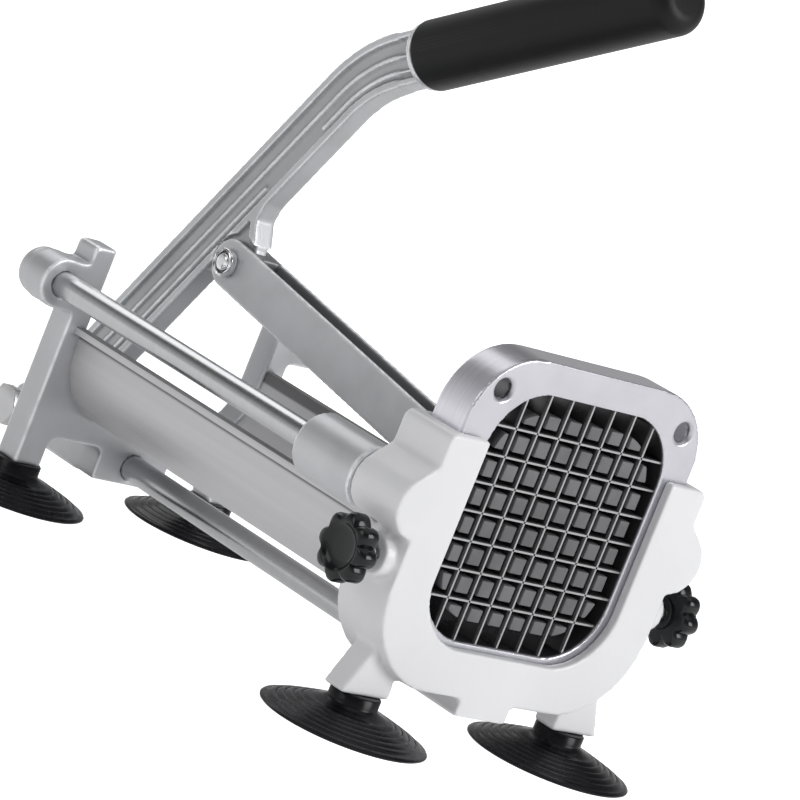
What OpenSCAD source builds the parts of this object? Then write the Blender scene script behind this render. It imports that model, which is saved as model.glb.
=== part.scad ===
// Bench french fry cutter, worked by a lever and held down by suction feet.
// Millimetres. +X is to the right seen from the blades, +Y runs back to the
// lever pivot, +Z is up. The origin is on the bench, midway along the cutter.
// Inside placed() the zero is the middle of the cut opening, on the blades'
// front rim, which is how all the sizes below are given.

/* [Cut grid] */
// Pitch of the square strips that are cut
strip_pitch = 9.525; // [9:0.025:9.6]
// Thickness of each blade strip
blade_t = 1.0; // [0.8:0.05:1.2]
// Depth of each blade strip along the cut
blade_depth = 10; // [7:0.5:11]
// Gap between a blade and the stud that passes it
stud_gap = 1.6; // [1.2:0.05:1.8]

/* [Blade cassette] */
// Width of the cut opening
opening_w = 78.6; // [78:0.2:81]
// Height of the cut opening
opening_h = 83.4; // [80:0.2:84]
// Radius of the opening's corners
opening_r = 21; // [16:1:24]
// Outer width of the cassette
cassette_w = 103; // [101:0.5:103.5]
// Outer height of the cassette
cassette_h = 104; // [102:0.5:106]
// Depth of the cassette along the cut
cassette_d = 15.5; // [13:0.5:18]
// Outer corner radius of the cassette
cassette_r = 24; // [20:1:28]
// Wall of the cassette's rims
cassette_wall = 2.6; // [2:0.1:3]
// Diameter of the two corner holes
corner_hole_d = 6.5; // [5:0.5:7]
// Distance between the two corner holes
corner_hole_span = 82; // [80:0.5:83]
// Height of the corner holes above the middle
corner_hole_z = 40; // [39:0.5:41]

/* [Front frame] */
// Thickness of the front plate
plate_t = 4; // [3:0.5:6]
// Half width of the frame's body
body_half_w = 58; // [57.6:0.2:60]
// Depth below the middle of the body's underside
body_drop = 59; // [58.5:0.5:61]
// Height above the middle of the frame's two arms
arm_rise = 24; // [18:0.5:28]
// How far the slot in the front plate is wider than the opening, on each side
slot_margin = 2.2; // [1.6:0.1:3]
// Thickness of the frame's back wall
back_wall = 4; // [4:0.5:6]
// Radius of the ears that carry the guide rods
ear_r = 10.5; // [9:0.25:11]

/* [Rods] */
// Half distance between the two guide rods
rod_x = 58; // [57.8:0.1:59]
// Depth of the guide rods below the middle
rod_drop = 1.5; // [0:0.5:4]
// Diameter of the guide rods
rod_d = 9; // [7:0.5:9]
// Depth of the lower tie rod below the middle
tie_drop = 58.5; // [57.5:0.5:59.5]
// Diameter of the lower tie rod
tie_d = 9; // [8:0.5:10]

/* [Rear bracket] */
// Distance from the blades' front rim to the rear bracket
bracket_y = 195; // [180:1:210]
// Thickness of the rear bracket
bracket_t = 11; // [8:0.5:14]
// Half width of the rear bracket's side posts
post_half_w = 50; // [49:0.5:52]
// Height of the posts above the middle
post_rise = 14; // [12:0.5:20]
// Half distance between the inner faces of the pivot lugs
lug_inner = 10.5; // [10:0.1:11]
// Thickness of each pivot lug
lug_t = 5; // [4:0.25:6]

/* [Chute] */
// Half width of the chute outside
chute_half_w = 43; // [42.5:0.1:43.5]
// Sheet thickness of the chute
chute_t = 1.2; // [0.8:0.1:1.5]
// Depth of the chute's top edges below the middle
chute_top_drop = 14.5; // [14.5:0.5:18]
// Depth of the chute's floor below the middle
chute_drop = 45.5; // [45:0.5:47]
// Width of the hem along each top edge
hem_w = 3; // [2:0.25:3.5]

/* [Lever] */
// Distance of the lever pivot behind the blades' front rim
pivot_y = 248; // [243:1:256]
// Depth of the lever pivot below the middle
pivot_drop = 59; // [57:0.5:60]
// Lean of the lever's bar towards the blades, from upright
bar_lean = 30; // [26:0.5:32]
// Length of the straight bar from the pivot to the bend
bar_len = 172; // [164:1:178]
// Width of the bar seen from the side
bar_w = 19.5; // [18:0.5:21]
// Thickness of the bar across its flanges
bar_t = 8.5; // [8:0.25:10]
// Thickness of the bar's web
web_t = 5; // [4:0.25:5.5]
// Radius of the bend
bend_r = 53; // [46:1:60]
// Angle of the bend
bend_deg = 31.4; // [28:0.2:34]
// Diameter of the rubber grip
grip_d = 24; // [22.5:0.5:27]
// Length of the rubber grip
grip_len = 112; // [95:1:125]
// Length of bare bar between the bend and the grip
neck_len = 13; // [10:0.5:16]
// Diameter of the pivot bolt
pivot_bolt_d = 8; // [6:0.5:8]

/* [Link] */
// Distance of the link's upper pin behind the blades' front rim
pin_y = 181; // [178:0.5:184]
// Height of the link's upper pin above the middle
pin_rise = 22; // [20:0.5:24]
// Distance of the link's lower pin behind the blades' front rim
seat_y = 52; // [50:0.5:54]
// Height of the link's lower pin above the middle
seat_rise = 3; // [1:0.5:3]
// Height of the link's bar seen from the side
link_h = 17; // [14:0.5:18]
// Width of the link across its two walls
link_w = 12; // [11:0.25:12.5]
// Diameter of the link's upper bolt
link_bolt_d = 6; // [5:0.5:6]
// Diameter of the link's lower pin
lower_pin_d = 8; // [6:0.5:8]

/* [Carriage and pusher] */
// Length of each sleeve on its guide rod
sleeve_len = 30; // [28:0.5:36]
// Outer radius of each sleeve
sleeve_r = 11; // [9.5:0.25:11]
// Height of the hub's top above the middle
hub_rise = 14.4; // [13:0.2:18]
// Thickness of the mounting plate behind the pusher
mount_t = 5.5; // [4:0.5:8]
// Half width of the pusher's studded face
pusher_half = 35; // [33:0.5:36]
// Corner radius of the pusher's studded face
pusher_r = 18; // [14:1:20]
// Distance of the stud tips behind the blades' front rim
stud_tip_y = 1.2; // [0.4:0.2:3]
// Thickness of the pusher's back plate
pusher_plate_t = 6.5; // [4:0.5:7]

/* [Clamp knobs] */
// Distance of the clamp screws behind the blades' front rim
clamp_y = 5; // [5:0.25:7]
// Depth of the clamp screws below the middle
clamp_drop = 20.5; // [20:0.5:24]
// Thread diameter of the clamp screws
clamp_d = 6; // [5:0.5:7]
// Diameter of the star knobs over their lobes
knob_d = 23; // [19:0.5:24]
// Thickness of the star knobs
knob_t = 9.5; // [7:0.5:12]
// Distance from the middle to the knobs' inner faces
knob_x = 67.5; // [66:0.5:70]

/* [Suction feet] */
// Distance of the front feet behind the blades' front rim
front_foot_y = 5.5; // [4.5:0.5:6]
// Half distance between the front feet
front_foot_x = 46; // [45:0.5:48]
// Half distance between the rear feet
rear_foot_x = 44.25; // [43.5:0.25:45]
// Rim diameter of each suction cup
cup_d = 56; // [46:1:60]
// Height of each suction cup
cup_h = 12; // [9:0.5:16]
// Diameter of the cup's neck
neck_d = 17; // [14:0.5:18]
// Diameter of the stud in each cup
cup_stud_d = 5; // [4:0.5:6]
// Depth of the legs' ends below the middle
leg_drop = 65; // [64:0.5:68]

/* [Hidden] */
$fn = 64;

silver = [0.80, 0.80, 0.81];
cast_white = [0.90, 0.90, 0.91];
cast_grey = [0.66, 0.67, 0.69];
zinc = [0.75, 0.75, 0.76];
black = [0.06, 0.06, 0.07];
stud_grey = [0.34, 0.34, 0.35];

// Clearances
cut = 1;              // how far a cutting shape passes a face
run_gap = 0.05;       // radial gap of a pin or rod that moves in its hole
slip_gap = 0.25;      // gap round a piece that is lifted out by hand
rest_gap = 0.3;       // gap between faces of two moving bodies

// Grid and cassette
strips = 8;           // cells across the grid, and down it
stud_w = strip_pitch - blade_t - 2 * stud_gap;
grid_half = strip_pitch * strips / 2;
blade_seat = 1.6;     // how far the blade ends run into the cassette's inner rim
blade_y = 1.2;        // how far the blades lie behind the cassette's face
hole_sink = 1;        // depth and widening of the corner holes' countersinks

// Front frame
front_y = -plate_t;
pocket_y = cassette_d + 0.5;
pocket_half_w = cassette_w / 2 + slip_gap;
frame_back_y = pocket_y + back_wall;
slot_half_w = opening_w / 2 + slot_margin;
slot_drop = opening_h / 2 + slot_margin - 0.4;
slot_r = opening_r + 1;
body_r = 31;          // radius of the body's lower corners
arm_root = 30;        // depth below the middle at which the arms begin
arm_lap = 18;         // how far the arms run down into the body
arm_r = 3;            // radius of the arms' outer top corners
ear_web_w = 6;        // width and rise of the web that joins ear and arm
ear_web_rise = 14;
ear_web_turn = 45;    // angle at which that web leaves the ear
leg_depth = 10;       // length of the front legs along the cut, behind the plate
// Outline of a front leg, from the middle of its foot; its top lies in the body
leg_profile = [[11.5, 0], [-9.2, 0], [-8, 15], [0, 27], [4.6, 16]];
tie_lug_half_w = 11.5;
tie_lug_wall = 2;
tie_seat_y = front_y + 5;

// Clamp screws
clamp_boss_r = 7;
clamp_boss_x = 63;
clamp_travel = 2;
tip_r = 4;
tip_t = 2.5;
tip_x = cassette_w / 2 + rest_gap;
tip_room = tip_t + clamp_travel + 2 * rest_gap;
knob_hub_r = 5.5;
knob_hub_t = 2;
knob_hole = 6;        // depth of the stud's hole in the knob
knob_lobes = 8;
knob_lobe_r = knob_d / 8;
dish_r = 5;
dish_depth = 1.2;

// Rods, tie rod and chute
rod_inset = 2;                              // wall between rod end and ear face
rod_seat = frame_back_y - rod_inset - rod_d;
rod_start_y = frame_back_y - rod_seat;
chute_seat = 2;       // how far each end of the chute sits in its casting
chute_r = opening_r + 1;
hem_h = 2.6;          // height of the hem's turned down lip
nut_t = 6;
tie_nut_af = 13;
set_screw_d = 4;
set_screw_sunk = 0.6;
set_screw_hex = 2.5;
set_screw_front_y = frame_back_y - 6;

// Rear bracket
bracket_back_y = bracket_y + bracket_t;
bracket_mid_y = bracket_y + bracket_t / 2;
rod_end_y = bracket_back_y + 2;
tie_end_y = bracket_back_y + nut_t + 3;
bracket_ear_r = 9;
ear_fillet = 5;
post_r = 2;           // radius of the posts' top corners
window_lip = 2;       // how far the bracket's window lies inside the chute
leg_inner = 38.6;     // half distance between the rear legs
arch_w = leg_inner - lug_inner - lug_t;
arch_h = 11;
arch_r = 3;
cap_r = 8.5;
cap_h = 5;
// Half section of the caps over the rod ends, as parts of cap_r and cap_h
cap_profile = [[1, 0.2], [0.94, 0.52], [0.8, 0.8], [0.5, 1], [0, 1]];

// Pivot
bolt_r = pivot_bolt_d / 2;
lug_end_r = bolt_r + 2.5;
eye_r = bar_w / 2;
bolt_head_t = 5;
pivot_nut_af = 13;

// Lever
flange_w = 3;
rib_w = 1.6;          // width of the ribs on the web
rib_low = 0.6;        // how far the ribs stay under the flanges
rib_mid = 1;          // place of the long rib, from the bar's middle line
rib_front = -4.4;     // place of the short ribs
rib_gap_from = 129;   // stretch of the bar that has no short rib
rib_gap_to = 160;
neck_step = 0.4;      // how much the bar is drawn in between bend and collar
neck_lap = 3;         // how far that stretch runs back into the bend
collar_t = 2;
collar_d = grip_d - 1;
tang_d = 16;
tang_back = 6;        // how far the tang ends inside the grip's end
grip_edge_r = 1.5;
pin_boss_r = 8;
pin_lug_below = 12;   // where the pin's lug leaves the bar, below and above the pin
pin_lug_above = 26;
pin_lug_side = 6;
pin_lug_shoulder = 17;
// Flange along the lug's upper edge: front and back of its tip, from the upper pin
lug_tip_front = [-1.8, 11.5];
lug_tip_back = [3, 11];
lug_root_high = 22;   // where it joins the bar, above the pin
lug_root_low = 15;
// Place of the upper pin in the lever's own frame
pin_u = (pin_y - pivot_y) * cos(bar_lean) + (pin_rise + pivot_drop) * sin(bar_lean);
pin_v = -(pin_y - pivot_y) * sin(bar_lean) + (pin_rise + pivot_drop) * cos(bar_lean);

// Link
link_dy = pin_y - seat_y;
link_dz = pin_rise - seat_rise;
link_len = sqrt(link_dy * link_dy + link_dz * link_dz);
link_tilt = atan2(link_dz, link_dy);
link_end_r = link_h / 2;
link_wall = 2;
trough_end = 4;       // solid length between the trough and each rounded end
trough_depth = 5;
fork_gap = 3;         // room in the fork round the lever's lug
pin_head_r = 5;
pin_head_t = 3.2;
link_nut_af = 10;
link_nut_t = 5;

// Carriage
sleeve_y = frame_back_y + rest_gap;
bush_wall = 2;
bush_len = 12;
cheek_t = 5.2;
cheek_in = link_w / 2 + rest_gap + 0.2;
hub_len = 44;
hub_back_y = sleeve_y + hub_len;
hub_drop = 24;        // depth below the middle of the hub's front
hub_front_rise = 22;
hub_neck = 4;         // length of the hub's tall front
hub_step = 10;        // where the hub's flat top begins
hub_floor = 18;       // where its underside meets the arm
hub_chamfer = 8;
hub_heel = 4;
arm_top = 3;
arm_h = 9;
arm_front = 14;       // from the sleeves' front end to the cross arm
arm_back = 3;         // from the cross arm to the sleeves' back end
web_w_front = 24;
web_w_back = 34;
web_len = 15;
slot_gap = 0.6;       // room round the link's end
slot_clear = 30;      // how far the slot's cutting shapes run on
slot_below = 4;
seat_slot_d = 3.6;    // depth of the pin seats cut into the cheeks
lower_pin_x = cheek_in + seat_slot_d - rest_gap;
seat_slack_front = 3.3;  // forward play of the lower pin over the stroke
seat_lap = 0.6;
mount_half_w = 27;
mount_half_h = 24;
mount_r = 8;
screw_x = 20;
screw_z = 16;
pusher_screw_d = 4;
screw_head_r = 3.5;
screw_head_t = 2.6;
screw_hex_d = 3.4;
screw_hex_depth = 1.4;

// Pusher
plate_y = stud_tip_y + blade_depth + 2.2;
plate_margin = 2.5;   // how far the back plate passes the studs
screw_y = plate_y + 1;

// Suction feet
rear_foot_y = bracket_mid_y;
cup_stud_up = 8;
cup_stud_down = 4;
neck_h = 4;
shoulder_w = 5;       // flare of the cup below its neck
shoulder_h = 2;
rim_rise = 3.2;       // height at which the flare turns into the rim
rim_w = 6;
lip_t = 1.2;
lip_w = 3;
mouth_w = 8;
mouth_rise = 1.6;
cup_roof_r = 6;
cup_roof_t = 2;

// The origin
floor_drop = leg_drop + cup_h;
mid_y = (front_foot_y - cup_d / 2 + pivot_y + eye_r) / 2;

// ---------- shared shapes ----------

// Moves the working zero onto the bench, midway along the cutter
module placed() translate([0, -mid_y, floor_drop]) children();

// Copies children to both sides of the cutter
module both_sides() {
    children();
    mirror([1, 0, 0]) children();
}

// Extrudes an outline drawn in X and Z along Y, from y0 over depth
module along_y(y0, depth)
    translate([0, y0 + depth, 0]) rotate([90, 0, 0]) linear_extrude(depth) children();

// Extrudes an outline drawn in Y and Z along X, from x0 over width
module along_x(x0, width)
    translate([x0, 0, 0]) rotate([90, 0, 90]) linear_extrude(width) children();

// Round bar along Y
module bar_y(x, y0, z, r, len)
    translate([x, y0, z]) rotate([-90, 0, 0]) cylinder(r = r, h = len);

// Round bar along X
module bar_x(x0, y, z, r, len)
    translate([x0, y, z]) rotate([0, 90, 0]) cylinder(r = r, h = len);

// Rectangle with round corners, centred
module round_rect(w, h, r) {
    square([w - 2 * r, h], center = true);
    square([w, h - 2 * r], center = true);
    for (x = [-1, 1], z = [-1, 1])
        translate([x * (w / 2 - r), z * (h / 2 - r)]) circle(r);
}

// The same rectangle, made larger or smaller all round
module grown_rect(w, h, r, by) round_rect(w + 2 * by, h + 2 * by, r + by);

// U outline, open at the top, with round lower corners
module u_shape(half_w, drop, top, r) difference() {
    translate([-half_w, -drop]) square([2 * half_w, top + drop]);
    both_sides_flat() difference() {
        translate([half_w - r, -drop - cut]) square([r + cut, r + cut]);
        translate([half_w - r, -drop + r]) circle(r);
    }
}

// Hexagonal bolt head or nut along X, across flats af
module hex_x(x0, y, z, af, t)
    translate([x0, y, z]) rotate([0, 90, 0]) rotate(30) cylinder(d = af / cos(30), h = t, $fn = 6);

module both_sides_flat() {
    children();
    mirror([1, 0]) children();
}

// ---------- front frame ----------

// Front view of the frame: arms, rod ears, rounded body and tie lug
module frame_outline() {
    u_shape(body_half_w, body_drop, arm_lap - arm_root, body_r);
    both_sides_flat() {
        // arm beside the cassette
        translate([slot_half_w, -arm_root])
            square([body_half_w - slot_half_w - arm_r, arm_root + arm_rise]);
        translate([slot_half_w, -arm_root])
            square([body_half_w - slot_half_w, arm_root + arm_rise - arm_r]);
        translate([body_half_w - arm_r, arm_rise - arm_r]) circle(arm_r);
        // ear round the guide rod, and its web up to the arm
        translate([rod_x, -rod_drop]) {
            circle(ear_r);
            polygon([
                [body_half_w - rod_x - ear_web_w, ear_web_rise], [body_half_w - rod_x, ear_web_rise],
                ear_r * [cos(ear_web_turn), sin(ear_web_turn)], [0, 0], [-ear_web_w, 0]
            ]);
        }
    }
    // lug that takes the lower tie rod
    translate([-tie_lug_half_w, -tie_drop - tie_d / 2 - tie_lug_wall])
        square([2 * tie_lug_half_w, tie_d + 2 * tie_lug_wall]);
}

module front_frame() placed() color(cast_white) difference() {
    union() {
        along_y(front_y, frame_back_y - front_y) frame_outline();
        both_sides() {
            // splayed leg, set back behind the front plate
            along_y(0, leg_depth) translate([front_foot_x, -leg_drop]) polygon(leg_profile);
            bar_x(body_half_w - cut, clamp_y, -clamp_drop, clamp_boss_r, clamp_boss_x - body_half_w + cut);
        }
    }
    // slot in the front plate
    along_y(front_y - cut, plate_t + 2 * cut) u_shape(slot_half_w, slot_drop, arm_rise + cut, slot_r);
    // pocket for the cassette, open at the top
    along_y(0, pocket_y) u_shape(pocket_half_w, cassette_h / 2 + slip_gap, arm_rise + cut, cassette_r);
    // back wall opening, through which the pusher passes
    along_y(pocket_y - cut, back_wall + 2 * cut)
        u_shape(chute_half_w - chute_t, chute_drop - chute_t, arm_rise + cut, chute_r);
    // seat for the end of the chute
    along_y(frame_back_y - chute_seat, chute_seat + cut) chute_outline(chute_t);
    // blind seats for the guide rods
    both_sides() bar_y(rod_x, rod_start_y, -rod_drop, rod_d / 2, rod_seat + cut);
    // threaded seat for the tie rod
    bar_y(0, tie_seat_y, -tie_drop, tie_d / 2, frame_back_y);
    // thread and counterbore for each clamp screw
    both_sides() {
        bar_x(pocket_half_w - cut, clamp_y, -clamp_drop, clamp_d / 2 + run_gap, clamp_boss_x);
        bar_x(pocket_half_w - cut, clamp_y, -clamp_drop, tip_r + slip_gap, tip_room + cut);
    }
    // set screws that lock the rods, and the cups' studs
    both_sides() {
        translate([rod_x, set_screw_front_y, -rod_drop - ear_r - cut])
            cylinder(d = set_screw_d, h = ear_r + cut);
        translate([front_foot_x, front_foot_y, -leg_drop - cut])
            cylinder(d = cup_stud_d, h = cup_stud_up + cut);
    }
}

// ---------- rear bracket ----------

module bracket_outline() {
    difference() {
        union() {
            translate([-post_half_w, -leg_drop]) square([2 * post_half_w, leg_drop + post_rise - post_r]);
            translate([-post_half_w + post_r, -leg_drop])
                square([2 * (post_half_w - post_r), leg_drop + post_rise]);
            both_sides_flat() {
                translate([post_half_w - post_r, post_rise - post_r]) circle(post_r);
                translate([rod_x, -rod_drop]) circle(bracket_ear_r);
                // web between post and ear, hollowed out above
                difference() {
                    translate([post_half_w - post_r, -rod_drop - bracket_ear_r])
                        square([rod_x - post_half_w + post_r, 2 * bracket_ear_r - 0.5]);
                    translate([rod_x - 0.5, -rod_drop + bracket_ear_r + ear_fillet - 0.5])
                        circle(ear_fillet);
                }
            }
        }
        u_shape(chute_half_w - window_lip, chute_drop - window_lip, post_rise + cut, opening_r);
        // arches between the legs and the middle boss
        both_sides_flat() translate([lug_inner + lug_t, -leg_drop]) {
            translate([0, -cut]) square([arch_w, arch_h - arch_r + cut]);
            translate([arch_r, 0]) square([arch_w - 2 * arch_r, arch_h]);
            for (x = [arch_r, arch_w - arch_r]) translate([x, arch_h - arch_r]) circle(arch_r);
        }
    }
}

module rear_bracket() placed() color(cast_grey) difference() {
    union() {
        along_y(bracket_y, bracket_t) bracket_outline();
        both_sides() {
            rod_cap();
            // lug for the lever pivot
            along_x(lug_inner, lug_t) {
                translate([bracket_back_y - cut, -pivot_drop - lug_end_r])
                    square([pivot_y - bracket_back_y + cut, 2 * lug_end_r]);
                translate([pivot_y, -pivot_drop]) circle(lug_end_r);
            }
        }
    }
    along_y(bracket_y - cut, chute_seat + cut) chute_outline(chute_t);
    both_sides() {
        bar_y(rod_x, bracket_y - cut, -rod_drop, rod_d / 2, rod_end_y - bracket_y + cut);
        translate([rod_x, bracket_mid_y, -rod_drop - bracket_ear_r - cut])
            cylinder(d = set_screw_d, h = bracket_ear_r + cut);
        translate([rear_foot_x, rear_foot_y, -leg_drop - cut])
            cylinder(d = cup_stud_d, h = cup_stud_up + cut);
    }
    bar_y(0, bracket_y - cut, -tie_drop, tie_d / 2, bracket_t + 2 * cut);
    bar_x(-lug_inner - lug_t - cut, pivot_y, -pivot_drop, bolt_r, 2 * (lug_inner + lug_t + cut));
}

// Round cap over the rod's end, begun inside the ear
module rod_cap() translate([rod_x, bracket_y + rod_inset, -rod_drop]) rotate([-90, 0, 0]) rotate_extrude()
    polygon(concat(
        [[0, 0], [cap_r, 0]],
        [for (p = cap_profile) [p[0] * cap_r, bracket_t + p[1] * cap_h]]
    ));

// ---------- rods, chute ----------

module guide_rod(side) placed() color(silver)
    bar_y(side * rod_x, rod_start_y, -rod_drop, rod_d / 2, rod_end_y - rod_start_y);

module guide_rod_left() guide_rod(-1);
module guide_rod_right() guide_rod(1);

module tie_rod() placed() color(silver)
    bar_y(0, tie_seat_y, -tie_drop, tie_d / 2, tie_end_y - tie_seat_y);

module tie_rod_nut() placed() color(zinc) difference() {
    translate([0, bracket_back_y, -tie_drop]) rotate([-90, 0, 0]) rotate(30)
        cylinder(d = tie_nut_af / cos(30), h = nut_t, $fn = 6);
    bar_y(0, bracket_back_y - cut, -tie_drop, tie_d / 2, nut_t + 2 * cut);
}

module rod_set_screws() placed() color(zinc) both_sides()
    for (s = [[set_screw_front_y, ear_r], [bracket_mid_y, bracket_ear_r]])
        translate([rod_x, s[0], -rod_drop - s[1] + set_screw_sunk]) difference() {
            cylinder(d = set_screw_d, h = s[1] - rod_d / 2 - set_screw_sunk);
            translate([0, 0, -cut]) cylinder(d = set_screw_d / 2, h = set_screw_hex, $fn = 6);
        }

// Section of the chute, t thick, with an outward hem on each top edge
module chute_outline(t) {
    difference() {
        u_shape(chute_half_w, chute_drop, -chute_top_drop, chute_r + t);
        u_shape(chute_half_w - t, chute_drop - t, -chute_top_drop + cut, chute_r);
    }
    both_sides_flat() {
        translate([chute_half_w - t, -chute_top_drop - t]) square([hem_w + t, t]);
        translate([chute_half_w + hem_w - t, -chute_top_drop - hem_h]) square([t, hem_h]);
    }
}

module chute() placed() color(silver)
    along_y(frame_back_y - chute_seat, bracket_y - frame_back_y + 2 * chute_seat) chute_outline(chute_t);

// ---------- blade cassette ----------

module cassette_frame() placed() color(silver) difference() {
    along_y(0, cassette_d) round_rect(cassette_w, cassette_h, cassette_r);
    along_y(-cut, cassette_d + 2 * cut) round_rect(opening_w, opening_h, opening_r);
    // hollow between the outer and inner rims, open at the back
    along_y(cassette_wall, cassette_d) difference() {
        grown_rect(cassette_w, cassette_h, cassette_r, -cassette_wall);
        grown_rect(opening_w, opening_h, opening_r, cassette_wall);
    }
    for (x = [-1, 1]) {
        bar_y(x * corner_hole_span / 2, -cut, corner_hole_z, corner_hole_d / 2, cassette_wall + 2 * cut);
        // shallow countersink at the front
        translate([x * corner_hole_span / 2, 0, corner_hole_z]) rotate([-90, 0, 0])
            cylinder(r1 = corner_hole_d / 2 + hole_sink, r2 = corner_hole_d / 2, h = hole_sink);
    }
    blade_strips(true);
    blade_strips(false);
}

// All the strips of one direction, without their notches
module blade_strips(upright) intersection() {
    for (i = [1 : strips - 1]) {
        at = (i - strips / 2) * strip_pitch;
        if (upright)
            translate([at - blade_t / 2, blade_y, -opening_h]) cube([blade_t, blade_depth, 2 * opening_h]);
        else
            translate([-opening_w, blade_y, at - blade_t / 2]) cube([2 * opening_w, blade_depth, blade_t]);
    }
    along_y(0, cassette_d)
        grown_rect(opening_w, opening_h, opening_r, blade_seat);
}

// Half depth notches where the crossing strips slide together
module blade_notches(upright)
    for (i = [1 : strips - 1]) {
        at = (i - strips / 2) * strip_pitch;
        half = blade_depth / 2;
        if (upright)
            translate([-opening_w, blade_y + half, at - blade_t / 2])
                cube([2 * opening_w, half + cut, blade_t]);
        else
            translate([at - blade_t / 2, blade_y - cut, -opening_h])
                cube([blade_t, half + cut, 2 * opening_h]);
    }

module blades_vertical() placed() color(silver) difference() {
    blade_strips(true);
    blade_notches(true);
}

module blades_horizontal() placed() color(silver) difference() {
    blade_strips(false);
    blade_notches(false);
}

// ---------- clamp knobs ----------

module clamp_tip() placed() color(zinc)
    bar_x(tip_x, clamp_y, -clamp_drop, tip_r, tip_t);

module clamp_stud() placed() color(zinc)
    bar_x(tip_x + tip_t, clamp_y, -clamp_drop, clamp_d / 2, knob_x + knob_hole - tip_x - tip_t);

module clamp_knob() placed() color(black) difference() {
    union() {
        translate([knob_x + knob_hub_t, clamp_y, -clamp_drop]) rotate([90, 0, 90])
            linear_extrude(knob_t - knob_hub_t) {
                circle(d = knob_d - 1.6 * knob_lobe_r);
                for (i = [1 : knob_lobes]) rotate(i * 360 / knob_lobes)
                    translate([knob_d / 2 - knob_lobe_r, 0]) circle(knob_lobe_r);
            }
        bar_x(knob_x, clamp_y, -clamp_drop, knob_hub_r, knob_hub_t);
    }
    bar_x(knob_x - cut, clamp_y, -clamp_drop, clamp_d / 2, knob_hole + cut);
    // dished outer face
    bar_x(knob_x + knob_t - dish_depth, clamp_y, -clamp_drop, dish_r, dish_depth + cut);
}

module clamp_tip_left() mirror([1, 0, 0]) clamp_tip();
module clamp_tip_right() clamp_tip();
module clamp_stud_left() mirror([1, 0, 0]) clamp_stud();
module clamp_stud_right() clamp_stud();
module clamp_knob_left() mirror([1, 0, 0]) clamp_knob();
module clamp_knob_right() clamp_knob();

// ---------- carriage and pusher ----------

module carriage() placed() color(cast_grey) difference() {
    union() {
        both_sides() bar_y(rod_x, sleeve_y, -rod_drop, sleeve_r, sleeve_len);
        // cross arm between the sleeves
        translate([-rod_x, sleeve_y + arm_front, arm_top - arm_h])
            cube([2 * rod_x, sleeve_len - arm_front - arm_back, arm_h]);
        // web that widens the arm towards the hub
        both_sides() translate([0, 0, arm_top - arm_h]) linear_extrude(arm_h)
            polygon([
                [0, sleeve_y], [web_w_front, sleeve_y], [web_w_back, sleeve_y + web_len],
                [0, hub_back_y - hub_heel]
            ]);
        // hub cheeks and floor, chamfered at the back
        along_x(-cheek_in - cheek_t, 2 * (cheek_in + cheek_t))
            polygon([
                [sleeve_y, -hub_drop], [sleeve_y + hub_step - 1, -hub_drop],
                [sleeve_y + hub_floor, arm_top - arm_h - 3], [hub_back_y - hub_heel, arm_top - arm_h],
                [hub_back_y, 0], [hub_back_y - hub_chamfer, hub_rise], [sleeve_y + hub_step, hub_rise],
                [sleeve_y + hub_neck, hub_front_rise], [sleeve_y, hub_front_rise]
            ]);
        // plate that the pusher is screwed to
        along_y(sleeve_y, mount_t) round_rect(2 * mount_half_w, 2 * mount_half_h, mount_r);
    }
    both_sides() bar_y(rod_x, sleeve_y - cut, -rod_drop, rod_d / 2 + bush_wall, sleeve_len + 2 * cut);
    // slot between the cheeks for the link's end
    along_x(-cheek_in, 2 * cheek_in) translate([seat_y, seat_rise]) {
        circle(link_end_r + slot_gap);
        translate([-link_end_r - seat_slack_front - slot_gap, -slot_below])
            square([hub_back_y - seat_y + slot_clear, hub_rise - seat_rise + slot_below + cut]);
        translate([0, -link_end_r - slot_gap]) square([slot_clear, slot_clear]);
    }
    // seats for the lower pin, open at the top
    both_sides() along_x(cheek_in - cut, seat_slot_d + cut) translate([seat_y, seat_rise]) {
        circle(lower_pin_d / 2 + run_gap);
        translate([-lower_pin_d / 2 - seat_slack_front, -slot_below / 2])
            square([lower_pin_d + seat_slack_front + run_gap - seat_lap, hub_rise]);
        translate([-cut, 0]) square([lower_pin_d / 2 + run_gap + cut, hub_rise]);
    }
    // pusher screws
    for (x = [-1, 1], z = [-1, 1])
        bar_y(x * screw_x, sleeve_y - cut, z * screw_z, pusher_screw_d / 2, mount_t + 2 * cut);
}

module slide_bushes() placed() color(cast_white) both_sides()
    for (y = [sleeve_y, sleeve_y + sleeve_len - bush_len]) difference() {
        bar_y(rod_x, y, -rod_drop, rod_d / 2 + bush_wall, bush_len);
        bar_y(rod_x, y - cut, -rod_drop, rod_d / 2 + run_gap, bush_len + 2 * cut);
    }

module pusher_block() placed() color(stud_grey) difference() {
    union() {
        // studs, trimmed to the round cornered field
        intersection() {
            for (i = [0 : strips - 1], k = [0 : strips - 1])
                translate([
                    (i + 0.5) * strip_pitch - grid_half - stud_w / 2, stud_tip_y,
                    (k + 0.5) * strip_pitch - grid_half - stud_w / 2
                ]) cube([stud_w, plate_y - stud_tip_y + cut, stud_w]);
            along_y(0, plate_y + 2 * cut) round_rect(2 * pusher_half, 2 * pusher_half, pusher_r);
        }
        along_y(plate_y, pusher_plate_t)
            grown_rect(2 * pusher_half, 2 * pusher_half, pusher_r, plate_margin);
        along_y(plate_y + pusher_plate_t - cut, sleeve_y - plate_y - pusher_plate_t + cut)
            round_rect(2 * mount_half_w, 2 * mount_half_h, mount_r);
    }
    for (x = [-1, 1], z = [-1, 1])
        bar_y(x * screw_x, screw_y, z * screw_z, pusher_screw_d / 2, sleeve_y - screw_y + cut);
}

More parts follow.
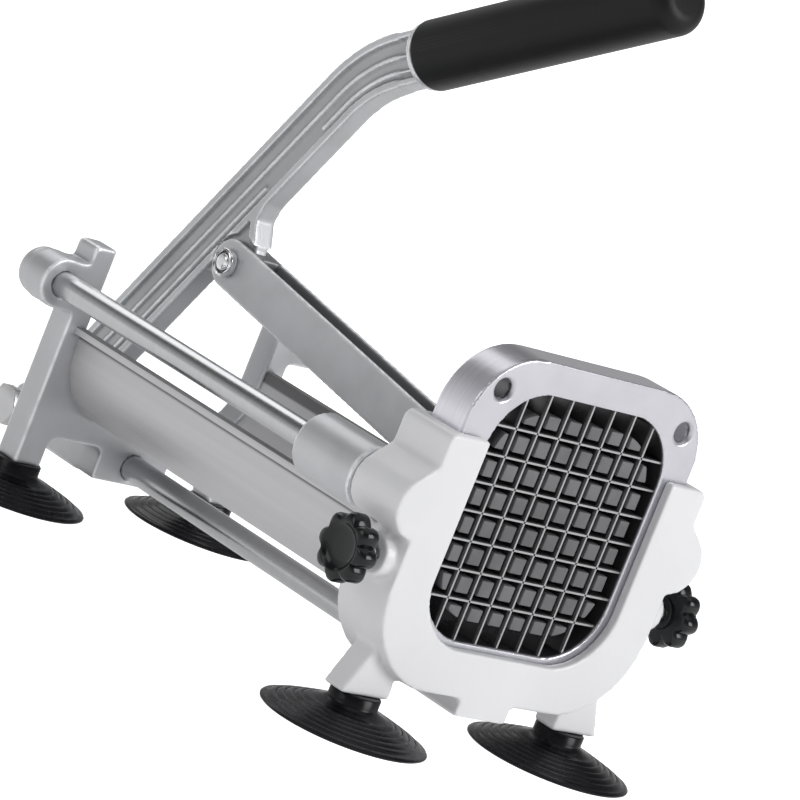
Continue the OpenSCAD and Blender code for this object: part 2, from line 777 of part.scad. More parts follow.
module pusher_screws() placed() color(zinc) for (x = [-1, 1], z = [-1, 1]) {
    head_y = sleeve_y + mount_t;
    bar_y(x * screw_x, screw_y, z * screw_z, pusher_screw_d / 2, head_y - screw_y);
    difference() {
        bar_y(x * screw_x, head_y, z * screw_z, screw_head_r, screw_head_t);
        translate([x * screw_x, head_y + screw_head_t - screw_hex_depth, z * screw_z]) rotate([-90, 0, 0])
            cylinder(d = screw_hex_d, h = screw_hex_depth + cut, $fn = 6);
    }
}

// ---------- lever ----------

// Frame of the lever: local Z runs up the bar, local Y out of its back edge
module on_lever() translate([0, pivot_y, -pivot_drop]) rotate([bar_lean, 0, 0]) children();

// Frame at the end of the lever's bend, local Z along the grip
module at_bend_end() translate([0, -bend_r, bar_len]) rotate([bend_deg, 0, 0])
    translate([0, bend_r, 0]) children();

// Strip of the bar between two distances from its middle line, past the bend
module bar_band(a, b) {
    translate([a, 0]) square([b - a, bar_len]);
    translate([-bend_r, bar_len]) {
        intersection() {
            difference() {
                circle(bend_r + b, $fn = 180);
                circle(bend_r + a, $fn = 180);
            }
            polygon([[0, 0], [2 * bend_r, 0], [2 * bend_r, 2 * bend_r * tan(bend_deg)]]);
        }
        rotate(bend_deg) translate([bend_r + a + neck_step, -neck_lap])
            square([b - a - 2 * neck_step, neck_len + neck_lap]);
    }
}

module lever_arm() placed() on_lever() color(cast_grey) difference() {
    union() {
        difference() {
            union() {
                along_x(-web_t / 2, web_t) bar_band(-bar_w / 2, bar_w / 2);
                along_x(-bar_t / 2, bar_t) {
                    bar_band(bar_w / 2 - flange_w, bar_w / 2);
                    bar_band(-bar_w / 2, -bar_w / 2 + flange_w);
                }
                along_x(-bar_t / 2 + rib_low, bar_t - 2 * rib_low) {
                    bar_band(rib_mid - rib_w / 2, rib_mid + rib_w / 2);
                    difference() {
                        bar_band(rib_front - rib_w / 2, rib_front + rib_w / 2);
                        translate([-bar_w / 2, rib_gap_from]) square([bar_w, rib_gap_to - rib_gap_from]);
                    }
                }
            }
            // flange cut back round the fork of the link
            both_sides() bar_x(web_t / 2, pin_u, pin_v, link_end_r + 2 * cut, bar_t);
        }
        // lug that carries the upper pin
        along_x(-web_t / 2, web_t) {
            translate([pin_u, pin_v]) circle(pin_boss_r);
            polygon([
                [-bar_w / 2 + cut, pin_v - pin_lug_below],
                [pin_u, pin_v] - pin_boss_r * [cos(45), sin(45)],
                [pin_u - pin_boss_r, pin_v], [pin_u - pin_boss_r, pin_v + pin_lug_side],
                [-bar_w / 2 - 2 * cut, pin_v + pin_lug_shoulder], [-bar_w / 2 + cut, pin_v + pin_lug_above]
            ]);
        }
        along_x(-bar_t / 2, bar_t) polygon([
            [pin_u, pin_v] + lug_tip_front, [-bar_w / 2 - 2 * cut, pin_v + pin_lug_shoulder],
            [-bar_w / 2 + cut, pin_v + pin_lug_above], [-bar_w / 2 + flange_w, pin_v + lug_root_high],
            [-bar_w / 2 + cut, pin_v + lug_root_low], [pin_u, pin_v] + lug_tip_back
        ]);
        // eye at the pivot
        bar_x(-lug_inner + rest_gap, 0, 0, eye_r, 2 * (lug_inner - rest_gap));
        // collar at the grip, and the tang inside it
        at_bend_end() translate([0, 0, neck_len - collar_t]) {
            cylinder(d = collar_d, h = collar_t);
            cylinder(d = tang_d, h = collar_t + grip_len - tang_back - grip_edge_r);
        }
    }
    bar_x(-lug_inner - cut, 0, 0, bolt_r + run_gap, 2 * (lug_inner + cut));
    bar_x(-bar_t, pin_u, pin_v, link_bolt_d / 2 + run_gap, 2 * bar_t);
}

module lever_grip() placed() on_lever() at_bend_end() color(black) difference() {
    translate([0, 0, neck_len]) rotate_extrude() difference() {
        union() {
            translate([0, grip_edge_r]) square([grip_d / 2, grip_len - grip_edge_r - grip_d / 4]);
            square([grip_d / 2 - grip_edge_r, 2 * grip_edge_r]);
            translate([grip_d / 2 - grip_edge_r, grip_edge_r]) circle(grip_edge_r);
            translate([0, grip_len - grip_d / 2]) square([grip_d / 4, grip_d / 2]);
            translate([grip_d / 4, grip_len - grip_d / 4]) circle(grip_d / 4);
        }
        // nothing on the far side of the axis
        translate([-grip_d, -cut]) square([grip_d, grip_len + 2 * cut]);
    }
    cylinder(d = tang_d, h = neck_len + grip_len - tang_back - grip_edge_r + slip_gap);
}

// ---------- pivot and link ----------

module pivot_bolt() placed() color(zinc) {
    lug_x = lug_inner + lug_t;
    bar_x(-lug_x - cut, pivot_y, -pivot_drop, bolt_r, 2 * lug_x + nut_t + 3 * cut);
    hex_x(-lug_x - bolt_head_t, pivot_y, -pivot_drop, pivot_nut_af, bolt_head_t);
}

module pivot_nut() placed() color(zinc) difference() {
    hex_x(lug_inner + lug_t, pivot_y, -pivot_drop, pivot_nut_af, nut_t);
    bar_x(lug_inner, pivot_y, -pivot_drop, bolt_r, lug_t + nut_t + cut);
}

// Frame of the link: local Y runs from the lower pin back to the upper pin
module on_link() translate([0, seat_y, seat_rise]) rotate([link_tilt, 0, 0]) children();

module link() placed() on_link() color(cast_grey) difference() {
    along_x(-link_w / 2, link_w) {
        circle(link_end_r);
        translate([0, -link_h / 2]) square([link_len, link_h]);
        translate([link_len, 0]) circle(link_end_r);
    }
    // trough along the top
    translate([-link_w / 2 + link_wall, link_end_r + trough_end, link_h / 2 - trough_depth])
        cube([link_w - 2 * link_wall, link_len - 2 * (link_end_r + trough_end), trough_depth + cut]);
    // fork over the lever's lug
    along_x(-web_t / 2 - rest_gap, web_t + 2 * rest_gap) {
        translate([link_len, 0]) circle(pin_boss_r + fork_gap);
        translate([link_len, -link_h]) square([link_h, 2 * link_h]);
    }
    bar_x(-link_w, link_len, 0, link_bolt_d / 2, 2 * link_w);
    bar_x(-link_w, 0, 0, lower_pin_d / 2, 2 * link_w);
}

module link_bolt() placed() on_link() color(zinc) {
    bar_x(-link_w / 2 - cut, link_len, 0, link_bolt_d / 2, link_w + link_nut_t + 2 * cut);
    // round head
    bar_x(-link_w / 2 - pin_head_t, link_len, 0, pin_head_r, pin_head_t);
}

module link_nut() placed() on_link() color(zinc) difference() {
    hex_x(link_w / 2, link_len, 0, link_nut_af, link_nut_t);
    bar_x(0, link_len, 0, link_bolt_d / 2, link_w);
}

module link_lower_pin() placed() on_link() color(zinc)
    bar_x(-lower_pin_x, 0, 0, lower_pin_d / 2, 2 * lower_pin_x);

// ---------- suction feet ----------

// One cup, mouth down, with its neck's top at zero
module suction_cup() color(black) difference() {
    rotate_extrude($fn = 96) polygon([
        [0, 0], [neck_d / 2, 0], [neck_d / 2, -neck_h],
        [neck_d / 2 + shoulder_w, -neck_h - shoulder_h], [cup_d / 2 - rim_w, -cup_h + rim_rise],
        [cup_d / 2, -cup_h + lip_t], [cup_d / 2, -cup_h], [cup_d / 2 - lip_w, -cup_h],
        [cup_d / 2 - mouth_w, -cup_h + mouth_rise], [cup_roof_r, -neck_h - cup_roof_t - 0.4],
        [0, -neck_h - cup_roof_t]
    ]);
    translate([0, 0, -cup_stud_down]) cylinder(d = cup_stud_d, h = cup_stud_down + cut);
}

module cup_at(x, y) placed() translate([x, y, -leg_drop]) suction_cup();

module suction_cup_front_left() cup_at(-front_foot_x, front_foot_y);
module suction_cup_front_right() cup_at(front_foot_x, front_foot_y);
module suction_cup_rear_left() cup_at(-rear_foot_x, rear_foot_y);
module suction_cup_rear_right() cup_at(rear_foot_x, rear_foot_y);

module cup_studs() placed() color(zinc) both_sides()
    for (p = [[front_foot_x, front_foot_y], [rear_foot_x, rear_foot_y]])
        translate([p[0], p[1], -leg_drop - cup_stud_down])
            cylinder(d = cup_stud_d, h = cup_stud_down + cup_stud_up);

// ---------- the object ----------

front_frame();
rear_bracket();
guide_rod_left();
guide_rod_right();
tie_rod();
tie_rod_nut();
rod_set_screws();
chute();
cassette_frame();
blades_vertical();
blades_horizontal();
clamp_tip_left();
clamp_tip_right();
clamp_stud_left();
clamp_stud_right();
clamp_knob_left();
clamp_knob_right();
carriage();
slide_bushes();
pusher_block();
pusher_screws();
lever_arm();
lever_grip();
pivot_bolt();
pivot_nut();
link();
link_bolt();
link_nut();
link_lower_pin();
suction_cup_front_left();
suction_cup_front_right();
suction_cup_rear_left();
suction_cup_rear_right();
cup_studs();
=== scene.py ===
"""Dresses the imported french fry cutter: cast, sheet and ground metal, plastic and rubber."""

import math

import bmesh
import bpy
import numpy as np
from mathutils import Matrix, Vector


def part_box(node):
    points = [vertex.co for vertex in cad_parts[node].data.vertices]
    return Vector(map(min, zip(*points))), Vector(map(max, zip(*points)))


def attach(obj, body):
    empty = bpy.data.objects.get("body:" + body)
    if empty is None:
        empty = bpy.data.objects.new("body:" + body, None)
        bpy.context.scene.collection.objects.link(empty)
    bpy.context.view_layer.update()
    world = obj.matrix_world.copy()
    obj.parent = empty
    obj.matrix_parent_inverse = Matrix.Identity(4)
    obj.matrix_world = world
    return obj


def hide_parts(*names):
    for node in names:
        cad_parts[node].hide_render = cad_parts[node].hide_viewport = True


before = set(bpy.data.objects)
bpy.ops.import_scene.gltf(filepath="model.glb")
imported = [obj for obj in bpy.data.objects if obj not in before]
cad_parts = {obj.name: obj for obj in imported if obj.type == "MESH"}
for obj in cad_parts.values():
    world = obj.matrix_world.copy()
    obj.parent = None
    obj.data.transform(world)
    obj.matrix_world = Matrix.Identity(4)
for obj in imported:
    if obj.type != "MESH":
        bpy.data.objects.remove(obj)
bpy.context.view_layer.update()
MM = 0.001

# ---------------------------------------------------------------------------
# Camera
# A long lens held low at the front left corner, turned about its own axis so
# that the cutter leans to the right in the picture.
# ---------------------------------------------------------------------------
EYE = Vector((-1.1138, -1.194225, 0.3417))
LOOK_AT = Vector((-0.1221, -0.160725, 0.1157))
ROLL = math.radians(21.9)
SENSOR_MM = 36
LENS_MM = 225

camera_data = bpy.data.cameras.new("camera")
camera_data.lens = LENS_MM
camera_data.sensor_width = SENSOR_MM
camera_data.clip_end = 20
camera = bpy.data.objects.new("camera", camera_data)
bpy.context.scene.collection.objects.link(camera)
aim = (LOOK_AT - EYE).to_track_quat("-Z", "Y").to_matrix().to_4x4()
camera.matrix_world = Matrix.Translation(EYE) @ aim @ Matrix.Rotation(ROLL, 4, "Z")
bpy.context.scene.camera = camera
bpy.context.scene.view_settings.view_transform = "Standard"

# ---------------------------------------------------------------------------
# Studio
# A room with light walls and a darker ceiling, one broad lamp in front to the
# right, and weaker ones behind and to the left. The floor is white paper.
# ---------------------------------------------------------------------------
ROOM_LEVEL = 0.70
# height from 0 below to 1 above, and the room's level there
FLOOR_TO_CEILING = [
    (0.0, 0.70), (0.50, 0.90), (0.57, 0.72), (0.66, 0.45), (0.74, 0.16), (0.86, 0.14), (0.95, 0.9),
]
PAPER = (0.90, 0.90, 0.90)
PAPER_GLOW = 0.28             # light the paper gives off, so that shadows on it stay weak
PAPER_SEEN_GLOW = 0.8         # and what the camera sees on top of that
FLOOR_HALF = 4.0
LAMPS = {
    "front_lamp": {"at": (0.95, -1.9, 1.05), "size": 1.2, "watts": 27},
    "left_lamp": {"at": (-2.0, 0.3, 1.3), "size": 1.2, "watts": 7},
    "back_lamp": {"at": (0.3, 2.0, 1.9), "size": 1.6, "watts": 12},
}
AIM_AT = Vector((0, 0, 0.08))

for name, lamp in LAMPS.items():
    light = bpy.data.lights.new(name, "AREA")
    light.size = lamp["size"]
    light.energy = lamp["watts"]
    light_object = bpy.data.objects.new(name, light)
    light_object.location = lamp["at"]
    light_object.rotation_euler = (AIM_AT - light_object.location).to_track_quat("-Z", "Y").to_euler()
    bpy.context.scene.collection.objects.link(light_object)


def new_material(name, base, roughness=0.5, metallic=0.0, specular=0.5):
    """Material with one Principled shader. Returns it, its node tree and the shader."""
    material = bpy.data.materials.new(name)
    material.use_nodes = True
    tree = material.node_tree
    shader = tree.nodes["Principled BSDF"]
    shader.inputs["Base Color"].default_value = (*base[:3], 1)
    shader.inputs["Roughness"].default_value = roughness
    shader.inputs["Metallic"].default_value = metallic
    shader.inputs["Specular IOR Level"].default_value = specular
    return material, tree, shader


def maths(tree, operation, first, second=None, third=None):
    """Math node whose operands are sockets or numbers. Returns its output."""
    node = tree.nodes.new("ShaderNodeMath")
    node.operation = operation
    for at, operand in enumerate((first, second, third)):
        if operand is None:
            continue
        if isinstance(operand, (int, float)):
            node.inputs[at].default_value = operand
        else:
            tree.links.new(operand, node.inputs[at])
    return node.outputs[0]


world = bpy.data.worlds.new("room")
world.use_nodes = True
bpy.context.scene.world = world
room = world.node_tree
room_light = room.nodes["Background"]
room_light.inputs["Strength"].default_value = ROOM_LEVEL
direction = room.nodes.new("ShaderNodeTexCoord")
split = room.nodes.new("ShaderNodeSeparateXYZ")
room.links.new(direction.outputs["Generated"], split.inputs[0])
height = maths(room, "MULTIPLY_ADD", split.outputs["Z"], 0.5, 0.5)
walls = room.nodes.new("ShaderNodeValToRGB")
walls.color_ramp.interpolation = "EASE"
while len(walls.color_ramp.elements) < len(FLOOR_TO_CEILING):
    walls.color_ramp.elements.new(0.5)
for stop, (at, level) in zip(walls.color_ramp.elements, FLOOR_TO_CEILING):
    stop.position = at
    stop.color = (level, level, level, 1)
room.links.new(height, walls.inputs[0])
room.links.new(walls.outputs[0], room_light.inputs["Color"])
seen_light = room.nodes.new("ShaderNodeBackground")
seen_light.inputs["Color"].default_value = (1, 1, 1, 1)
seen_light.inputs["Strength"].default_value = 1.0
kind_of_ray = room.nodes.new("ShaderNodeLightPath")
seen = maths(
    room, "MAXIMUM", kind_of_ray.outputs["Is Camera Ray"], kind_of_ray.outputs["Is Transmission Ray"]
)
by_ray = room.nodes.new("ShaderNodeMixShader")
room.links.new(seen, by_ray.inputs[0])
room.links.new(room_light.outputs[0], by_ray.inputs[1])
room.links.new(seen_light.outputs[0], by_ray.inputs[2])
room.links.new(by_ray.outputs[0], room.nodes["World Output"].inputs["Surface"])

floor_mesh = bpy.data.meshes.new("floor")
floor_mesh.from_pydata(
    [(x * FLOOR_HALF, y * FLOOR_HALF, 0) for x, y in ((-1, -1), (1, -1), (1, 1), (-1, 1))],
    [],
    [(0, 1, 2, 3)],
)
floor = bpy.data.objects.new("floor", floor_mesh)
bpy.context.scene.collection.objects.link(floor)
paper, paper_tree, paper_shader = new_material("white_paper", PAPER, 0.9, specular=0.1)
paper_shader.inputs["Emission Color"].default_value = (1, 1, 1, 1)
paper_ray = paper_tree.nodes.new("ShaderNodeLightPath")
paper_glow = maths(
    paper_tree, "MULTIPLY_ADD", paper_ray.outputs["Is Camera Ray"], PAPER_SEEN_GLOW, PAPER_GLOW
)
paper_tree.links.new(paper_glow, paper_shader.inputs["Emission Strength"])
floor_mesh.materials.append(paper)

# ---------------------------------------------------------------------------
# Front frame
# One aluminium casting that carries the cassette, the rods and the clamps. It
# has a white baked coat with a faint orange peel, drawn thin over the edges.
# ---------------------------------------------------------------------------
COAT_WHITE = (0.80, 0.80, 0.82)
COAT_ROUGHNESS = 0.36
FLOAT = "NodeSocketFloat"
COLOUR = "NodeSocketColor"
VECTOR = "NodeSocketVector"


def node_copy(node, name):
    """Free copy of a CAD node's mesh, with its doubled points merged."""
    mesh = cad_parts[node].data.copy()
    mesh.name = name
    mesh.materials.clear()
    shape = bmesh.new()
    shape.from_mesh(mesh)
    bmesh.ops.remove_doubles(shape, verts=shape.verts, dist=2e-6)
    shape.to_mesh(mesh)
    shape.free()
    mesh.validate()
    piece = bpy.data.objects.new(name, mesh)
    bpy.context.scene.collection.objects.link(piece)
    return piece


def apply_modifiers(piece):
    """Turns the piece into the plain mesh that its modifiers make."""
    bpy.context.view_layer.update()
    evaluated = piece.evaluated_get(bpy.context.evaluated_depsgraph_get())
    plain = bpy.data.meshes.new_from_object(evaluated)
    old = piece.data
    piece.modifiers.clear()
    piece.data = plain
    plain.name = piece.name
    bpy.data.meshes.remove(old)


def dress(piece, material, body, node=None):
    """Gives the piece its material and body, and hides the CAD node that it stands for."""
    if material:
        piece.data.materials.clear()
        piece.data.materials.append(material)
    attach(piece, body)
    if node:
        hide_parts(node)


def mark_edges(piece, gain=1.7, spread=2):
    """Stores how far each point stands out of its neighbourhood: 1 on an edge, 0 in a corner."""
    mesh = piece.data
    count = len(mesh.vertices)
    place = np.empty(count * 3, np.float32)
    mesh.vertices.foreach_get("co", place)
    normal = np.empty(count * 3, np.float32)
    mesh.vertex_normals.foreach_get("vector", normal)
    ends = np.empty(len(mesh.edges) * 2, np.int32)
    mesh.edges.foreach_get("vertices", ends)
    place, normal, ends = place.reshape(-1, 3), normal.reshape(-1, 3), ends.reshape(-1, 2)
    near, far = ends[:, 0], ends[:, 1]
    along = place[far] - place[near]
    along /= np.maximum(np.linalg.norm(along, axis=1), 1e-9)[:, None]
    share = np.maximum(np.bincount(ends.ravel(), minlength=count), 1)
    bend = np.bincount(near, -(normal[near] * along).sum(1), count)
    bend += np.bincount(far, (normal[far] * along).sum(1), count)
    bend /= share
    for _ in range(spread):
        around = np.bincount(near, bend[far], count) + np.bincount(far, bend[near], count)
        bend = (bend + around / share) / 2
    level = np.clip(0.5 + gain * bend, 0, 1).astype(np.float32)
    mesh.attributes.new("edge", "FLOAT", "POINT").data.foreach_set("value", level)


def casting(node, name, voxel, rounding, gain=1.7):
    """Copy of a node with soft cast edges and inside corners."""
    piece = node_copy(node, name)
    remesh = piece.modifiers.new("cast skin", "REMESH")
    remesh.mode = "VOXEL"
    remesh.voxel_size = voxel
    remesh.use_smooth_shade = True
    soften = piece.modifiers.new("soft edges", "SMOOTH")
    soften.factor = 0.5
    soften.iterations = rounding
    apply_modifiers(piece)
    mark_edges(piece, gain)
    return piece


def new_group(name, inputs, outputs, kind="ShaderNodeTree"):
    """Node group with named sockets. Returns it with its two ends."""
    group = bpy.data.node_groups.new(name, kind)
    for socket, socket_type, value in inputs:
        made = group.interface.new_socket(name=socket, in_out="INPUT", socket_type=socket_type)
        if value is not None:
            made.default_value = value
    for socket, socket_type in outputs:
        group.interface.new_socket(name=socket, in_out="OUTPUT", socket_type=socket_type)
    return group, group.nodes.new("NodeGroupInput"), group.nodes.new("NodeGroupOutput")


def noise(tree, vector, scale, detail=3.0):
    """Noise texture on a vector. Returns its value."""
    texture = tree.nodes.new("ShaderNodeTexNoise")
    texture.inputs["Detail"].default_value = detail
    tree.links.new(vector, texture.inputs["Vector"])
    if isinstance(scale, (int, float)):
        texture.inputs["Scale"].default_value = scale
    else:
        tree.links.new(scale, texture.inputs["Scale"])
    return texture.outputs["Fac"]


def scaled(tree, vector, by):
    """Vector or colour multiplied by one number."""
    node = tree.nodes.new("ShaderNodeVectorMath")
    node.operation = "SCALE"
    tree.links.new(vector, node.inputs[0])
    tree.links.new(by, node.inputs["Scale"])
    return node.outputs[0]


def ramp(tree, value, low, high, to_low=0.0, to_high=1.0):
    """Smooth step of a value between two levels."""
    node = tree.nodes.new("ShaderNodeMapRange")
    node.interpolation_type = "SMOOTHSTEP"
    tree.links.new(value, node.inputs["Value"])
    for socket, number in (("From Min", low), ("From Max", high), ("To Min", to_low), ("To Max", to_high)):
        node.inputs[socket].default_value = number
    return node.outputs[0]


def mottle_group():
    """Fine grain and broad clouds on object coordinates, for colour, roughness and bump."""
    group, source, result = new_group(
        "mottle",
        [("Colour", COLOUR, (0.5, 0.5, 0.5, 1)), ("Grain Size", FLOAT, 1.0), ("Cloud", FLOAT, 0.1),
         ("Roughness", FLOAT, 0.5), ("Roughness Change", FLOAT, 0.1)],
        [("Colour", COLOUR), ("Roughness", FLOAT), ("Height", FLOAT)],
    )
    place = group.nodes.new("ShaderNodeTexCoord").outputs["Object"]
    grain = noise(group, place, maths(group, "DIVIDE", 1000.0, source.outputs["Grain Size"]))
    clouds = ramp(group, noise(group, place, 38.0, 4.0), 0.3, 0.7, -1.0, 1.0)
    shift = maths(group, "MULTIPLY_ADD", clouds, source.outputs["Cloud"], 1.0)
    rough = maths(
        group, "MULTIPLY_ADD", grain, source.outputs["Roughness Change"], source.outputs["Roughness"]
    )
    group.links.new(scaled(group, source.outputs["Colour"], shift), result.inputs["Colour"])
    group.links.new(rough, result.inputs["Roughness"])
    group.links.new(grain, result.inputs["Height"])
    return group


def worn_group():
    """Rubs the stored edges bright and paints shade into the inside corners."""
    group, source, result = new_group(
        "worn",
        [("Colour", COLOUR, (0.5, 0.5, 0.5, 1)), ("Roughness", FLOAT, 0.5), ("Shine", FLOAT, 0.3),
         ("Dirt", FLOAT, 0.3)],
        [("Colour", COLOUR), ("Roughness", FLOAT)],
    )
    stored = group.nodes.new("ShaderNodeAttribute")
    stored.attribute_name = "edge"
    place = group.nodes.new("ShaderNodeTexCoord").outputs["Object"]
    patchy = ramp(group, noise(group, place, 160.0, 4.0), 0.3, 0.62, 0.45, 1.0)
    edge = maths(group, "MULTIPLY", ramp(group, stored.outputs["Fac"], 0.56, 0.80), patchy)
    # painted shade: the inside corners, where the stored value is low, are darkened
    corner = ramp(group, stored.outputs["Fac"], 0.44, 0.20)
    light = maths(group, "MULTIPLY_ADD", edge, source.outputs["Shine"], 1.0)
    corner_shaded = maths(group, "SUBTRACT", 1.0, maths(group, "MULTIPLY", corner, source.outputs["Dirt"]))
    shade = maths(group, "MULTIPLY", light, corner_shaded)
    rough = maths(group, "MULTIPLY_ADD", edge, -0.12, source.outputs["Roughness"])
    group.links.new(scaled(group, source.outputs["Colour"], shade), result.inputs["Colour"])
    group.links.new(rough, result.inputs["Roughness"])
    return group


MOTTLE = mottle_group()
WORN = worn_group()


def use_group(tree, group, **values):
    """Places a node group in a tree with its own values."""
    node = tree.nodes.new(tree.bl_idname.replace("NodeTree", "NodeGroup"))
    node.node_tree = group
    for socket, value in values.items():
        node.inputs[socket.replace("_", " ")].default_value = value
    return node


def bumped(tree, shader, height, strength, distance):
    """Feeds a height into the shader's normal."""
    bump = tree.nodes.new("ShaderNodeBump")
    bump.inputs["Strength"].default_value = strength
    bump.inputs["Distance"].default_value = distance
    tree.links.new(height, bump.inputs["Height"])
    tree.links.new(bump.outputs["Normal"], shader.inputs["Normal"])


def mottled_material(name, base, roughness, metallic, grain, cloud, bump, wear_and_shade=None, specular=0.5):
    """Material with grain and clouds of the given size and depth, and worn edges with painted shade in the
    inside corners if asked.
    """
    material, tree, shader = new_material(name, base, roughness, metallic, specular)
    last = mottle = use_group(
        tree, MOTTLE, Colour=(*base, 1), Grain_Size=grain, Cloud=cloud,
        Roughness=roughness - 0.06, Roughness_Change=0.12,
    )
    if wear_and_shade:
        last = use_group(tree, WORN, Shine=wear_and_shade[0], Dirt=wear_and_shade[1])
        tree.links.new(mottle.outputs["Colour"], last.inputs["Colour"])
        tree.links.new(mottle.outputs["Roughness"], last.inputs["Roughness"])
    tree.links.new(last.outputs["Colour"], shader.inputs["Base Color"])
    tree.links.new(last.outputs["Roughness"], shader.inputs["Roughness"])
    bumped(tree, shader, mottle.outputs["Height"], bump, 0.15 * MM)
    return material, tree, shader


def shade_by(tree, shader, factor):
    """Multiplies the colour that reaches the shader by a factor."""
    colour = shader.inputs["Base Color"].links[0].from_socket
    tree.links.new(scaled(tree, colour, factor), shader.inputs["Base Color"])


def place_parts(tree):
    """X, Y and Z of the shaded point in the object's own coordinates."""
    split = tree.nodes.new("ShaderNodeSeparateXYZ")
    tree.links.new(tree.nodes.new("ShaderNodeTexCoord").outputs["Object"], split.inputs[0])
    return split.outputs["X"], split.outputs["Y"], split.outputs["Z"]


white_coat, _, coat_shader = mottled_material(
    "white_coat", COAT_WHITE, COAT_ROUGHNESS, metallic=0.0, grain=1.1, cloud=0.015, bump=0.22,
    wear_and_shade=(0.10, 0.22),
)
coat_shader.inputs["Coat Weight"].default_value = 0.2
coat_shader.inputs["Coat Roughness"].default_value = 0.18
front = casting("front_frame", "front_casting", voxel=0.85 * MM, rounding=7)
dress(front, white_coat, "base", "front_frame")

# ---------------------------------------------------------------------------
# Blade cassette
# A cast ring with a broad front rim, ground bright and left bare. Its round
# outer wall shows the grinding lines that run round it.
# ---------------------------------------------------------------------------
CASSETTE_METAL = (0.60, 0.595, 0.64)
OPENING_HALF_W = 39.3 * MM
OPENING_HALF_H = 41.7 * MM
OPENING_PAINTED_SHADE = 0.85           # how dark the painted shade on the opening's wall is
SHADE_NEAR = 0.4 * MM          # how far outside the opening that painted shade begins to fade, and where it ends
SHADE_FAR = 0.9 * MM
RIM_EDGE = 0.4 * MM           # how far behind the rim's face the painted shade and the painted light begin
SIDE_PAINTED_LIGHT = 0.42             # painted light: how much lighter the outer wall is at the sides, and where
SIDE_FROM = 43.0 * MM
SIDE_FULL = 49.5 * MM


def brushed_group():
    """Long fine scratches along one direction, for roughness, colour and bump."""
    group, source, result = new_group(
        "brushed",
        [("Colour", COLOUR, (0.5, 0.5, 0.5, 1)), ("Stretch", VECTOR, (1, 1, 1)), ("Depth", FLOAT, 0.1),
         ("Roughness", FLOAT, 0.3)],
        [("Colour", COLOUR), ("Roughness", FLOAT), ("Height", FLOAT)],
    )
    place = group.nodes.new("ShaderNodeTexCoord")
    stretch = group.nodes.new("ShaderNodeVectorMath")
    stretch.operation = "MULTIPLY"
    group.links.new(place.outputs["Object"], stretch.inputs[0])
    group.links.new(source.outputs["Stretch"], stretch.inputs[1])
    lines = noise(group, stretch.outputs[0], 1.0, 4.0)
    swing = maths(group, "SUBTRACT", lines, 0.5)
    change = maths(group, "MULTIPLY_ADD", swing, source.outputs["Depth"], 1.0)
    rough = maths(group, "MULTIPLY", source.outputs["Roughness"], change)
    group.links.new(scaled(group, source.outputs["Colour"], change), result.inputs["Colour"])
    group.links.new(rough, result.inputs["Roughness"])
    group.links.new(lines, result.inputs["Height"])
    return group


BRUSHED = brushed_group()


def brushed_material(name, base, roughness, metallic, stretch, depth, bump, wear_and_shade=None):
    """Metal with fine lines, finest along the axes where stretch is large."""
    material, tree, shader = new_material(name, base, roughness, metallic)
    last = brush = use_group(
        tree, BRUSHED, Colour=(*base, 1), Stretch=stretch, Depth=depth, Roughness=roughness
    )
    if wear_and_shade:
        last = use_group(tree, WORN, Shine=wear_and_shade[0], Dirt=wear_and_shade[1])
        tree.links.new(brush.outputs["Colour"], last.inputs["Colour"])
        tree.links.new(brush.outputs["Roughness"], last.inputs["Roughness"])
    tree.links.new(last.outputs["Colour"], shader.inputs["Base Color"])
    tree.links.new(last.outputs["Roughness"], shader.inputs["Roughness"])
    bumped(tree, shader, brush.outputs["Height"], bump, 0.05 * MM)
    return material, tree, shader


def ground_cassette():
    """Ground metal, with painted shade behind the rim in the opening and painted light on the outer wall's
    sides.
    """
    material, tree, shader = brushed_material(
        "ground_cassette", CASSETTE_METAL, roughness=0.30, metallic=0.75, stretch=(60, 900, 60),
        depth=0.25, bump=0.12, wear_and_shade=(0.25, 0.3),
    )
    low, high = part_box("cassette_frame")
    x, y, z = place_parts(tree)
    across = maths(tree, "ABSOLUTE", x)
    upwards = maths(tree, "ABSOLUTE", maths(tree, "SUBTRACT", z, (low[2] + high[2]) / 2))
    # painted shade on the opening's wall behind the rim
    in_width = ramp(tree, across, OPENING_HALF_W + SHADE_FAR, OPENING_HALF_W + SHADE_NEAR)
    in_height = ramp(tree, upwards, OPENING_HALF_H + SHADE_FAR, OPENING_HALF_H + SHADE_NEAR)
    behind_rim = ramp(tree, y, low[1] + RIM_EDGE, low[1] + RIM_EDGE + 1.0 * MM, 0.0, OPENING_PAINTED_SHADE)
    opening_shade = maths(tree, "MULTIPLY", maths(tree, "MULTIPLY", in_width, in_height), behind_rim)
    shade_by(tree, shader, maths(tree, "SUBTRACT", 1.0, opening_shade))
    # painted light on the outer wall's sides
    on_side = ramp(tree, across, SIDE_FROM, SIDE_FULL)
    off_rim = ramp(tree, y, low[1] + RIM_EDGE, low[1] + RIM_EDGE + 0.8 * MM, 0.0, SIDE_PAINTED_LIGHT)
    shade_by(tree, shader, maths(tree, "ADD", 1.0, maths(tree, "MULTIPLY", on_side, off_rim)))
    return material


cassette_metal = ground_cassette()
cassette = casting("cassette_frame", "cassette_casting", voxel=0.6 * MM, rounding=3)
dress(cassette, cassette_metal, "base", "cassette_frame")

# ---------------------------------------------------------------------------
# Blades
# Seven strips of spring steel each way, slid into each other by half depth
# notches. The front of each strip is ground to an edge, and shade is painted on the sides behind it.
# ---------------------------------------------------------------------------
BLADE_STEEL = (0.74, 0.74, 0.76)
BLADE_COUNT = 7
BLADE_PITCH = 9.525 * MM
BLADE_THICK = 1.0 * MM
BLADE_DEPTH = 10 * MM
GROUND_DEPTH = 1.3 * MM       # how far back the edge is ground
EDGE_THICK = 0.65 * MM
EDGE_SHADE = 0.60             # share of the steel's colour on the ground edge, and the painted shade on the sides behind it
SIDE_PAINTED_SHADE = 0.16
SEAT_HALF_W = 40.9 * MM       # half size and corner radius of the seat that the strips end in
SEAT_HALF_H = 43.3 * MM
SEAT_R = 22.6 * MM


